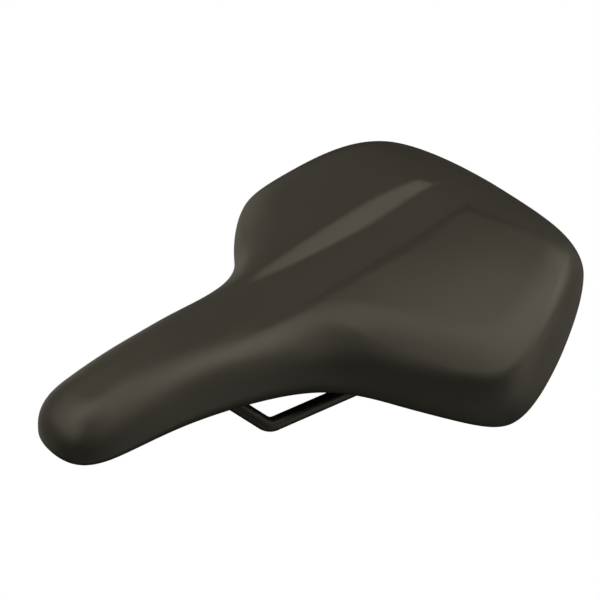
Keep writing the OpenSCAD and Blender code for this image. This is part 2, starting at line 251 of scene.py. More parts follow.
def spoke_mesh(name: str, sections: np.ndarray, closed: bool) -> Mesh:
    """A mesh through the sections of the left side and their mirror images.

    Args:
        name: Name of the mesh.
        sections: Spokes from nose to rear by points from the middle line outwards, in millimetres.
        closed: Whether the sections' last points lie on the middle line as well.

    Returns:
        The mesh, whose faces point outwards.
    """
    spokes, count = sections.shape[0] - 1, sections.shape[1]
    left = np.arange((spokes + 1) * count).reshape(spokes + 1, count)
    right = left[1:spokes] + (spokes * count)
    right[:, 0] = left[1:spokes, 0]
    if closed:
        right[:, -1] = left[1:spokes, -1]
    mirrored = sections[1:spokes] * MIRROR
    points = np.concatenate([sections.reshape(-1, 3), mirrored.reshape(-1, 3)])
    ring = np.concatenate([left, right[::-1]])
    following = np.roll(ring, -1, axis=0)
    corners = [ring[:, :-1], ring[:, 1:], following[:, 1:], following[:, :-1]]
    faces = np.stack(corners, axis=-1).reshape(-1, 4)
    used, numbers = np.unique(faces, return_inverse=True)
    return mesh_from(name, points[used], numbers.reshape(-1, 4))


def lathe(
    name: str,
    profile: Sequence[tuple[float, float]],
    at: Sequence[float],
    axis: Sequence[float] = (0.0, 0.0, 1.0),
    sides: int = 64,
) -> Object:
    """A closed turned piece.

    Args:
        name: Name of the piece.
        profile: Radius and height of each point of a closed outline, which runs up on its outer side.
            Points of radius 0 at both ends make it solid.
        at: Where height 0 lies on the axis.
        axis: Direction of the axis.
        sides: Number of faces round it.

    Returns:
        The new object.
    """
    maker = bmesh.new()
    turn = Vector(axis).to_track_quat("Z", "Y").to_matrix()
    solid = profile[0][0] == 0.0
    rings = []
    for radius, height in profile:
        angles = [0.0] if radius == 0.0 else np.linspace(0.0, 2 * math.pi, sides, endpoint=False)
        ring = []
        for a in angles:
            spot = turn @ Vector((radius * math.cos(a), radius * math.sin(a), height))
            ring.append(maker.verts.new((spot + Vector(at)) * MM))
        rings.append(ring)
    pairs = list(zip(rings, rings[1:] if solid else [*rings[1:], rings[0]]))
    for lower, upper in pairs:
        for k in range(sides):
            a, b = lower[k % len(lower)], lower[(k + 1) % len(lower)]
            c, d = upper[(k + 1) % len(upper)], upper[k % len(upper)]
            maker.faces.new(list(dict.fromkeys([a, b, c, d])))
    return made(name, maker)


def block(
    name: str, low: Sequence[float], high: Sequence[float], round_by: float, steps: int = 3
) -> Object:
    """A box with rounded edges.

    Args:
        name: Name of the piece.
        low: Lowest corner.
        high: Highest corner.
        round_by: Radius of its edges.
        steps: Faces across each rounded edge.

    Returns:
        The new object.
    """
    maker = bmesh.new()
    bmesh.ops.create_cube(maker, size=1.0)
    size = Vector(high) - Vector(low)
    bmesh.ops.scale(maker, vec=size * MM, verts=maker.verts)
    bmesh.ops.translate(maker, vec=(Vector(low) + size / 2) * MM, verts=maker.verts)
    bmesh.ops.bevel(
        maker, geom=maker.edges[:], offset=round_by * MM, segments=steps, profile=0.5, affect="EDGES"
    )
    return made(name, maker)


def rod_profile(radius: float, low: float, high: float) -> list[tuple[float, float]]:
    """Outline of a plain solid rod for the lathe, between two heights."""
    return [(0.0, low), (radius, low), (radius, high), (0.0, high)]


def corner_at(radius: float, height: float, corner: Corner) -> list[tuple[float, float]]:
    """Points of a rounded corner, from their offsets out and up from where it would be sharp."""
    return [(radius + out, height + up) for out, up in corner]


def outward(piece: Object) -> None:
    """Turns all faces of a closed mesh outwards.

    Args:
        piece: Object with that mesh.
    """
    maker = bmesh.new()
    maker.from_mesh(piece.data)
    bmesh.ops.recalc_face_normals(maker, faces=maker.faces)
    maker.to_mesh(piece.data)
    maker.free()


# Node trees


def add_node(
    tree: NodeTree,
    kind: str,
    settings: Mapping[str, Any] | None = None,
    links: Mapping[Any, NodeSocket] | None = None,
) -> Node:
    """Adds a node with its settings and links.

    Args:
        tree: Tree that gets the node.
        kind: Type name of the node.
        settings: Values by attribute, or by input name or number.
        links: Output sockets by input name or number.

    Returns:
        The new node.
    """
    node = tree.nodes.new(kind)
    for key, value in (settings or {}).items():
        if isinstance(key, str) and hasattr(node, key):
            setattr(node, key, value)
    for key, value in (settings or {}).items():
        if not (isinstance(key, str) and hasattr(node, key)):
            node.inputs[key].default_value = value
    for key, socket in (links or {}).items():
        tree.links.new(socket, node.inputs[key])
    return node


def linear(colour: str) -> tuple[float, float, float, float]:
    """Linear colour of an sRGB hex value.

    Args:
        colour: Such as "#3a3730".

    Returns:
        Red, green, blue and alpha.
    """
    shares = [int(colour[i : i + 2], 16) / 255.0 for i in (1, 3, 5)]
    red, green, blue = ((s / 12.92) if s <= 0.04045 else ((s + 0.055) / 1.055) ** 2.4 for s in shares)
    return red, green, blue, 1.0


def per_metre(size: float) -> float:
    """Texture scale of a pattern whose repeats are size millimetres wide."""
    return 1.0 / (size * MM)


def new_material(name: str) -> tuple[Material, Node, NodeSocket]:
    """An empty material with its shader.

    Args:
        name: Name of the material.

    Returns:
        The material, its Principled shader and the Object coordinate socket.
    """
    material = bpy.data.materials.new(name)
    material.use_nodes = True
    tree = material.node_tree
    tree.nodes.clear()
    shader = add_node(tree, "ShaderNodeBsdfPrincipled")
    add_node(tree, "ShaderNodeOutputMaterial", links={"Surface": shader.outputs["BSDF"]})
    place = add_node(tree, "ShaderNodeTexCoord").outputs["Object"]
    return material, shader, place


def new_tree(name: str, sizes: Mapping[str, str]) -> tuple[NodeTree, Node]:
    """An empty Geometry Nodes tree.

    Args:
        name: Name of the tree.
        sizes: Socket type of each named input after the geometry.

    Returns:
        The tree and its input node.
    """
    tree = bpy.data.node_groups.new(name, "GeometryNodeTree")
    tree.interface.new_socket("Geometry", in_out="INPUT", socket_type="NodeSocketGeometry")
    for label, kind in sizes.items():
        tree.interface.new_socket(label, in_out="INPUT", socket_type=kind)
    tree.interface.new_socket("Geometry", in_out="OUTPUT", socket_type="NodeSocketGeometry")
    return tree, add_node(tree, "NodeGroupInput")


def close_tree(tree: NodeTree, shape: NodeSocket, finish: NodeSocket) -> None:
    """Ends a tree in real geometry that wears a material.

    Args:
        tree: Tree to end.
        shape: Geometry to put out.
        finish: Its material.
    """
    real = add_node(tree, "GeometryNodeRealizeInstances", links={"Geometry": shape})
    worn = add_node(
        tree, "GeometryNodeSetMaterial", links={"Geometry": real.outputs["Geometry"], "Material": finish}
    )
    add_node(tree, "NodeGroupOutput", links={0: worn.outputs["Geometry"]})


def grown(name: str, seed: Mesh, tree: NodeTree, inputs: Mapping[str, Any]) -> Object:
    """A plain mesh that a tree makes from a seed mesh.

    Args:
        name: Name of the piece.
        seed: Points or lines that the tree starts from.
        tree: The tree.
        inputs: Values by the names of its inputs.

    Returns:
        The new object, with no modifier left on it.
    """
    piece = add_object(name, seed)
    modifier = piece.modifiers.new("grow", "NODES")
    modifier.node_group = tree
    sockets = {
        item.name: item.identifier
        for item in tree.interface.items_tree
        if item.item_type == "SOCKET" and item.in_out == "INPUT"
    }
    for label, value in inputs.items():
        modifier[sockets[label]] = value
    piece.update_tag()
    bpy.context.view_layer.update()
    return applied(piece)


# Finishes


# Range that holds most of a noise pattern's values
NOISE_SPAN = (0.3, 0.7)


def vary(
    shader: Node,
    pattern: NodeSocket,
    colours: tuple[str, str] | None = None,
    roughness: tuple[float, float] | None = None,
    relief: tuple[float, float] | None = None,
) -> None:
    """Lets a pattern vary a shader's colour, roughness and relief, each where it is given.

    Args:
        shader: Principled shader.
        pattern: Output of the pattern, from 0 to 1.
        colours: sRGB hex values at its low and high ends.
        roughness: Roughness at the low and high ends of most of its values.
        relief: Strength and height in millimetres of a bump, which adds to one that is there already.
    """
    tree = shader.id_data
    if colours:
        low, high = (linear(colour) for colour in colours)
        tint = add_node(tree, "ShaderNodeMix", {"data_type": "RGBA", 6: low, 7: high}, {0: pattern})
        tree.links.new(tint.outputs[2], shader.inputs["Base Color"])
    if roughness:
        span = dict(zip(("From Min", "From Max", "To Min", "To Max"), (*NOISE_SPAN, *roughness)))
        dull = add_node(tree, "ShaderNodeMapRange", span, {"Value": pattern})
        tree.links.new(dull.outputs["Result"], shader.inputs["Roughness"])
    if relief:
        normal, links = shader.inputs["Normal"], {"Height": pattern}
        if normal.is_linked:
            links["Normal"] = normal.links[0].from_socket
        sizes = {"Strength": relief[0], "Distance": relief[1] * MM}
        bump = add_node(tree, "ShaderNodeBump", sizes, links)
        tree.links.new(bump.outputs["Normal"], normal)


@dataclass(frozen=True)
class ThermoformedSkin:
    """Polyurethane-coated fabric, drawn over the foam while warm: matte, with a fine hide grain.

    The eye gets a dark warm grey with a broad soft sheen and no seams.
    """

    colours: tuple[str, str] = ("#2f2e2c", "#353432")
    roughness: tuple[float, float] = (0.39, 0.45)
    cloud: float = 60.0
    cloud_detail: float = 6.0
    cloud_contrast: float = 0.62
    grain: float = 0.9
    grain_smooth: float = 0.6
    grain_relief: tuple[float, float] = (0.12, 0.1)
    pores: float = 0.35
    pore_detail: float = 2.0
    pore_relief: tuple[float, float] = (0.1, 0.05)
    ior: float = 1.46

    def material(self) -> Material:
        """Builds the material."""
        material, shader, place = new_material("thermoformed_polyurethane_skin")
        tree, at = material.node_tree, {"Vector": place}
        look = {"Scale": per_metre(self.cloud), "Detail": self.cloud_detail, "Roughness": self.cloud_contrast}
        cloud = add_node(tree, "ShaderNodeTexNoise", look, at)
        vary(shader, cloud.outputs["Fac"], self.colours, self.roughness)
        # The real grain is about a quarter of a millimetre, too fine to show, so it is drawn coarser
        look = {"feature": "SMOOTH_F1", "Scale": per_metre(self.grain), "Smoothness": self.grain_smooth}
        grain = add_node(tree, "ShaderNodeTexVoronoi", look, at)
        vary(shader, grain.outputs["Distance"], relief=self.grain_relief)
        look = {"Scale": per_metre(self.pores), "Detail": self.pore_detail}
        pores = add_node(tree, "ShaderNodeTexNoise", look, at)
        vary(shader, pores.outputs["Fac"], relief=self.pore_relief)
        shader.inputs["IOR"].default_value = self.ior
        return material


@dataclass(frozen=True)
class OpenFoam:
    """Moulded polyurethane foam: dull, with small open cells whose middles are painted darker, as painted
    shade in the pits.
    """

    colours: tuple[str, str] = ("#47443d", "#6b675e")
    cell: float = 1.2
    relief: tuple[float, float] = (0.6, 0.4)
    roughness: float = 0.95

    def material(self) -> Material:
        """Builds the material."""
        material, shader, place = new_material("moulded_polyurethane_foam")
        look = {"Scale": per_metre(self.cell)}
        cells = add_node(material.node_tree, "ShaderNodeTexVoronoi", look, {"Vector": place})
        # Colour darkens towards each cell's middle, where the bump sinks: painted shade in the pores.
        vary(shader, cells.outputs["Distance"], self.colours, relief=self.relief)
        shader.inputs["Roughness"].default_value = self.roughness
        return material


@dataclass(frozen=True)
class SparkedPlastic:
    """Black polypropylene from a spark-eroded mould: matte, with an even fine texture."""

    colours: tuple[str, str] = ("#26241f", "#322f29")
    roughness: tuple[float, float] = (0.42, 0.55)
    cloud: float = 25.0
    cloud_detail: float = 4.0
    spark: float = 0.7
    spark_detail: float = 2.0
    relief: tuple[float, float] = (0.25, 0.12)
    ior: float = 1.49

    def material(self) -> Material:
        """Builds the material."""
        material, shader, place = new_material("spark_textured_polypropylene")
        tree, at = material.node_tree, {"Vector": place}
        look = {"Scale": per_metre(self.cloud), "Detail": self.cloud_detail}
        cloud = add_node(tree, "ShaderNodeTexNoise", look, at)
        vary(shader, cloud.outputs["Fac"], self.colours, self.roughness)
        look = {"Scale": per_metre(self.spark), "Detail": self.spark_detail}
        sparks = add_node(tree, "ShaderNodeTexNoise", look, at)
        vary(shader, sparks.outputs["Fac"], relief=self.relief)
        shader.inputs["IOR"].default_value = self.ior
        return material


@dataclass(frozen=True)
class StovedPaint:
    """Stoved black paint on steel wire: deep black, with soft streaks of light and some orange peel."""

    colours: tuple[str, str] = ("#0b0a09", "#141310")
    roughness: tuple[float, float] = (0.38, 0.46)
    peel: float = 2.2
    peel_detail: float = 2.0
    relief: tuple[float, float] = (0.08, 0.05)
    ior: float = 1.5

    def material(self) -> Material:
        """Builds the material."""
        material, shader, place = new_material("stoved_black_paint")
        look = {"Scale": per_metre(self.peel), "Detail": self.peel_detail}
        peel = add_node(material.node_tree, "ShaderNodeTexNoise", look, {"Vector": place})
        vary(shader, peel.outputs["Fac"], self.colours, self.roughness, self.relief)
        shader.inputs["IOR"].default_value = self.ior
        return material


@dataclass(frozen=True)
class PlatedMetal:
    """Turned or drawn metal with a bright or thinly plated face, slightly clouded."""

    name: str
    colours: tuple[str, str]
    roughness: tuple[float, float] = (0.25, 0.42)
    cloud: float = 3.0
    cloud_detail: float = 4.0

    def material(self) -> Material:
        """Builds the material."""
        material, shader, place = new_material(self.name)
        look = {"Scale": per_metre(self.cloud), "Detail": self.cloud_detail}
        cloud = add_node(material.node_tree, "ShaderNodeTexNoise", look, {"Vector": place})
        vary(shader, cloud.outputs["Fac"], self.colours, self.roughness)
        shader.inputs["Metallic"].default_value = 1.0
        return material


@dataclass(frozen=True)
class SpringRubber:
    """Cast polyurethane elastomer: dark grey, satin, with a bloom of dust."""

    colours: tuple[str, str] = ("#45433e", "#55534d")
    cloud: float = 6.0
    cloud_detail: float = 5.0
    relief: tuple[float, float] = (0.15, 0.1)
    roughness: float = 0.62

    def material(self) -> Material:
        """Builds the material."""
        material, shader, place = new_material("cast_elastomer")
        look = {"Scale": per_metre(self.cloud), "Detail": self.cloud_detail}
        cloud = add_node(material.node_tree, "ShaderNodeTexNoise", look, {"Vector": place})
        vary(shader, cloud.outputs["Fac"], self.colours, relief=self.relief)
        shader.inputs["Roughness"].default_value = self.roughness
        return material


ZINC_PLATED_STEEL = PlatedMetal("zinc_plated_steel", ("#a5a5a1", "#8b8a85"))
PLAIN_BRASS = PlatedMetal("plain_brass", ("#c8a45c", "#9c7c40"))


@dataclass
class Finishes:
    """Every finish of the saddle, built once."""

    skin: Material = field(default_factory=ThermoformedSkin().material)
    foam: Material = field(default_factory=OpenFoam().material)
    plastic: Material = field(default_factory=SparkedPlastic().material)
    paint: Material = field(default_factory=StovedPaint().material)
    steel: Material = field(default_factory=ZINC_PLATED_STEEL.material)
    brass: Material = field(default_factory=PLAIN_BRASS.material)
    rubber: Material = field(default_factory=SpringRubber().material)


def place_piece(
    piece: Object, body: Body, nodes: Sequence[str], finish: Material | None = None
) -> Object:
    """Gives a finished piece its body, finish and the solids that it stands for.

    Args:
        piece: Object whose mesh is final.
        body: Body that it moves with.
        nodes: Solids that it replaces.
        finish: Material, unless the mesh wears one already.

    Returns:
        The same object.
    """
    if finish is not None:
        piece.data.materials.clear()
        piece.data.materials.append(finish)
    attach(piece, body.value)
    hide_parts(*nodes)
    LOG.info("%s: %d faces, rides on %s", piece.name, len(piece.data.polygons), body.value)
    return piece


def dress_solid(node: str, finish: Material) -> None:
    """Gives a carried-over solid its material.

    Args:
        node: Name of the solid.
        finish: Material.
    """
    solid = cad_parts[node]
    solid.data.materials.clear()
    solid.data.materials.append(finish)
    LOG.info("%s: solid kept", node)


# The seat's form


@dataclass(frozen=True)
class Spokes:
    """Lines from the middle of the saddle to its outline, with the section's sizes on each."""

    start: np.ndarray
    lean_x: np.ndarray
    lean_y: np.ndarray
    length: np.ndarray
    roll_w: np.ndarray
    roll_h: np.ndarray
    shoulder_w: np.ndarray
    shoulder_h: np.ndarray
    shoulder_round: np.ndarray
    rim: np.ndarray

    def along(self, distance: np.ndarray) -> tuple[np.ndarray, np.ndarray]:
        """Plan position, x and y, at distances from each spoke's start, one row for each spoke."""
        return self.start[:, None] + self.lean_x[:, None] * distance, self.lean_y[:, None] * distance


@dataclass(frozen=True)
class SeatForm:
    """The seat's outer form, which the skin, the foam and the base share."""

    # Size, and control points of the outline's left half from nose to rear
    length: float = 274.0
    width: float = 197.0
    outline_step: float = 0.125
    plan: tuple[tuple[float, float], ...] = (
        (152.2, 0), (149.6, 15.3), (136, 25.3), (92, 25.6), (52.3, 31.1), (24.4, 39.4), (9.2, 57.2),
        (2.1, 70.3), (-24, 100.1), (-42.7, 98.2), (-70.9, 86.8), (-99.4, 71.7), (-115.6, 49.1),
        (-122.5, 25.2), (-122.2, 0),
    )
    # Stations from rear to nose, at which the longer rows below give their values
    station_x0: float = -130.0
    station_step: float = 40.0
    # Top sheet: its height on the middle line and its fall to the sides
    crown_z: tuple[float, ...] = (44.5, 75.4, 70.1, 62.5, 53.7, 52, 49.1, 36.2)
    droop: tuple[float, ...] = (10.9, 10.7, 22.5, 26.4, 21.9, 11.2, 9.5, 10.9)
    droop_reach: float = 100.0
    droop_power: float = 1.79
    droop_blunt: float = 12.0
    # Rim, and the roll and the shoulder that lead from the sheet to the wall
    rim_z: tuple[float, ...] = (29.6, 16.4, -0.8, 11.4, 17.7, 19.2, 19.1, 13.4)
    roll_w: tuple[float, ...] = (20, 20, 20, 28, 28, 20, 20, 20)
    roll_h: tuple[float, ...] = (0.4, 3.6, 5.1, 5.6, 6.1, 0, 1, 0)
    shoulder_w: tuple[float, ...] = (9.1, 7.4, 4.5, 4.8, 31.1, 19.6, 23.2, 18)
    shoulder_h: tuple[float, ...] = (11.2, 11, 8.5, 7.5, 15.7, 21.8, 20.4, 16.7)
    shoulder_round: tuple[float, ...] = (1.6, 1.55, 0.6, 0.85, 0.95, 0.65, 1, 1)
    shoulder_turn: float = 0.74
    shoulder_share: float = 0.8
    # Crown of the base's dish, and how far and in which curve the wall tucks in
    base_z: tuple[float, ...] = (48, 48, 48, 47, 43, 38, 36, 30)
    side_tuck: float = 5.4
    wall_bow: float = 2.0
    # Relief channel: where it deepens and rises again, its waist and its walls
    channel_depth: float = 6.7
    channel_half_w: float = 16.7
    channel_front: tuple[float, float] = (80.0, -45.0)
    channel_rear: tuple[float, float] = (-30.0, -100.0)
    channel_rise: float = 0.75
    pinch: float = 2.9
    pinch_x: tuple[float, float] = (-40.0, -90.0)
    wall_least: float = 0.8
    wall_run: float = 1.5
    wall_round: float = 0.08
    # Lower rear deck: its slanted edge, where it fades and its blend with the channel
    deck_depth: float = 2.7
    deck_x: float = -71.3
    deck_lean: float = 0.46
    deck_run: float = 7.0
    deck_round: float = 0.25
    deck_y: tuple[float, float] = (15.0, 75.0)
    deck_blend: float = 0.8
    # Point that the wings' spokes lean to
    wing_x: float = -54.0
    wing_pull: float = 0.55
    wing_y: tuple[float, float] = (30.0, 90.0)
    # Crisper front edge of the wings
    edge_x: tuple[float, float] = (-45.0, -15.0)
    edge_y: tuple[float, float] = (35.0, 62.0)
    edge_crisp: float = 0.6
    edge_least: float = 3.5
    edge_dip: float = 3.0
    edge_dip_x: tuple[float, float] = (-25.0, 15.0)
    # Stretch of the middle line that the spokes start from
    fan_rear: float = 44.0
    fan_nose: float = 29.0
    fan_blend: float = 12.0

    def at_station(self, values: Sequence[float], x: np.ndarray) -> np.ndarray:
        """Value of a row of stations at a place along the saddle.

        Args:
            values: One value for each station.
            x: Places.

        Returns:
            The blended values.
        """
        table = np.asarray(values, float)
        t = (x - self.station_x0) / self.station_step
        i = np.floor(t).astype(int)
        a, b, c, d = (table[np.clip(i + k, 0, len(table) - 1)] for k in (-1, 0, 1, 2))
        return cubic_span(a, b, c, d, t - i)

    def plan_curve(self, u: np.ndarray) -> tuple[np.ndarray, np.ndarray]:
        """Left half of the outline before it is stretched to the seat's size.

        Args:
            u: Place on the curve, from 0 at the nose to one less than the number of control points.

        Returns:
            Its x and y.
        """
        table = np.asarray(self.plan, float)
        last = len(table) - 1
        i = np.floor(u).astype(int)
        spans = []
        for k in (-1, 0, 1, 2):
            number = np.abs(i + k)
            over = number > last
            flipped = over | (i + k < 0)
            number = np.where(over, 2 * last - number, number)
            spans.append((table[number, 0], np.where(flipped, -1.0, 1.0) * table[number, 1]))
        x, y = (cubic_span(*(s[axis] for s in spans), u - i) for axis in (0, 1))
        return x, y

    def outline(self, u: np.ndarray) -> tuple[np.ndarray, np.ndarray]:
        """Left half of the outline at the seat's size.

        Args:
            u: Place on the curve, as in plan_curve.

        Returns:
            Its x and y.
        """
        ends_x, _ = self.plan_curve(np.array([0.0, len(self.plan) - 1.0]))
        _, side_y = self.plan_curve(np.arange(0.0, len(self.plan) - 1.0, self.outline_step))
        x, y = self.plan_curve(u)
        return x * self.length / (ends_x[0] - ends_x[1]), y * self.width / 2 / side_y.max()

    def recess(self, x: np.ndarray, y: np.ndarray) -> np.ndarray:
        """Depth of the relief channel and of the lower rear deck that it runs out into.

        Args:
            x: Places along the saddle.
            y: Places across it.

        Returns:
            Depths below the pads.
        """
        side = np.abs(y)
        depth = self.channel_depth * ramp(*self.channel_front, x)
        depth = depth * (1 - self.channel_rise * ramp(*self.channel_rear, x))
        run = self.wall_least + self.wall_run * depth
        middle = self.channel_half_w - self.pinch * ramp(*self.pinch_x, x)
        channel = depth * soft_clip((middle - side) / run + 0.5, 0.0, 1.0, self.wall_round)
        edge = self.deck_x - self.deck_lean * (side - middle)
        deck = self.deck_depth * (1 - ramp(*self.deck_y, side))
        deck = deck * soft_clip((edge - x) / self.deck_run + 0.5, 0.0, 1.0, self.deck_round)
        return soft_max(channel, deck, self.deck_blend)

    def top_z(self, x: np.ndarray, y: np.ndarray) -> np.ndarray:
        """Height of the top sheet.

        Args:
            x: Places along the saddle.
            y: Places across it.

        Returns:
            Heights, with the relief channel and the rear deck.
        """
        power, blunt = self.droop_power, self.droop_blunt
        fall = ((y**2 + blunt**2) ** (power / 2) - blunt**power) / self.droop_reach**power
        return self.at_station(self.crown_z, x) - self.at_station(self.droop, x) * fall - self.recess(x, y)

    def sheet(self, s: Spokes, distance: np.ndarray) -> tuple[np.ndarray, np.ndarray, np.ndarray]:
        """Points of the top sheet along the spokes, with the roll that leads into the shoulder.

        Args:
            s: Spokes.
            distance: Distances from their starts, one row for each spoke.

        Returns:
            Their x, y and z.
        """
        x, y = s.along(distance)
        share = np.clip(1 - (s.length[:, None] - distance) / s.roll_w[:, None], 0.0, 1.0)
        return x, y, self.top_z(x, y) - s.roll_h[:, None] * share**2

    def spokes(self, count: int) -> Spokes:
        """Spokes of the left side, from the nose to the rear.

        Args:
            count: Number of gaps between spokes.

        Returns:
            The spokes.
        """
        x, y = self.outline(np.linspace(0.0, len(self.plan) - 1.0, count + 1))
        y[0] = y[-1] = 0.0
        lean = (x - self.wing_x) * self.wing_pull * ramp(*self.wing_y, y)
        start = soft_clip(x - lean, x.min() + self.fan_rear, x.max() - self.fan_nose, self.fan_blend)
        length = np.hypot(x - start, y)
        crisp = 1 - self.edge_crisp * ramp(*self.edge_x, x) * ramp(*self.edge_y, y)
        dip = self.edge_dip * ramp(*self.edge_dip_x, x) * ramp(*self.edge_y, y)
        shoulder_w = np.maximum(self.at_station(self.shoulder_w, x) * crisp, self.edge_least)
        return Spokes(
            start=start,
            lean_x=(x - start) / length,
            lean_y=y / length,
            length=length,
            roll_w=self.at_station(self.roll_w, x),
            roll_h=self.at_station(self.roll_h, x) + dip,
            shoulder_w=np.minimum(shoulder_w, self.shoulder_share * length),
            shoulder_h=self.at_station(self.shoulder_h, x) - dip,
            shoulder_round=self.at_station(self.shoulder_round, x),
            rim=self.at_station(self.rim_z, x),
        )

    def skin_section(
        self, s: Spokes, inset: float, steps: tuple[int, int, int], stop: float = 0.0
    ) -> np.ndarray:
        """Points from the middle line over the shoulder to the rim.

        Args:
            s: Spokes.
            inset: How far the section lies inside the skin's outer face.
            steps: Number of steps on the top, the shoulder and the wall.
            stop: How far above the rim the wall ends.

        Returns:
            Spokes by points by x, y and z.
        """
        flat = (s.length - s.shoulder_w)[:, None]
        x, y, z = self.sheet(s, flat * np.linspace(0.0, 1.0, steps[0] + 1))
        top = np.stack([x, y, z - inset], axis=-1)
        angle = np.linspace(0.0, math.pi / 2, steps[1] + 1)[1:]
        arc_d = flat + s.shoulder_w[:, None] * np.sin(angle) ** s.shoulder_round[:, None]
        _, _, z = self.sheet(s, arc_d)
        drop = s.shoulder_h[:, None] * (1 - np.maximum(np.cos(angle), 0.0) ** self.shoulder_turn)
        arc_z = z - drop - inset * np.cos(angle)
        x, y = s.along(arc_d - inset * np.sin(angle))
        shoulder = np.stack([x, y, arc_z], axis=-1)
        low, high = s.rim[:, None] + inset, arc_z[:, -1:]
        share = np.linspace(0.0, 1.0, steps[2] + 1)[1:] * (1 - stop / (high - low))
        x, y = s.along(s.length[:, None] - inset - self.side_tuck * share**self.wall_bow)
        wall = np.stack([x, y, high + (low - high) * share], axis=-1)
        return np.concatenate([top, shoulder, wall], axis=1)

    def rim_points(self, s: Spokes, inset: np.ndarray | float, rise: np.ndarray | float) -> np.ndarray:
        """Points at the rim.

        Args:
            s: Spokes.
            inset: Distances inwards from the rim, in a row.
            rise: Heights above the rim, in a row.

        Returns:
            Spokes by points by x, y and z.
        """
        inset, rise = np.atleast_1d(inset), np.atleast_1d(rise)
        x, y = s.along(s.length[:, None] - self.side_tuck - inset)
        return np.stack([x, y, np.broadcast_to(s.rim[:, None] + rise, x.shape)], axis=-1)


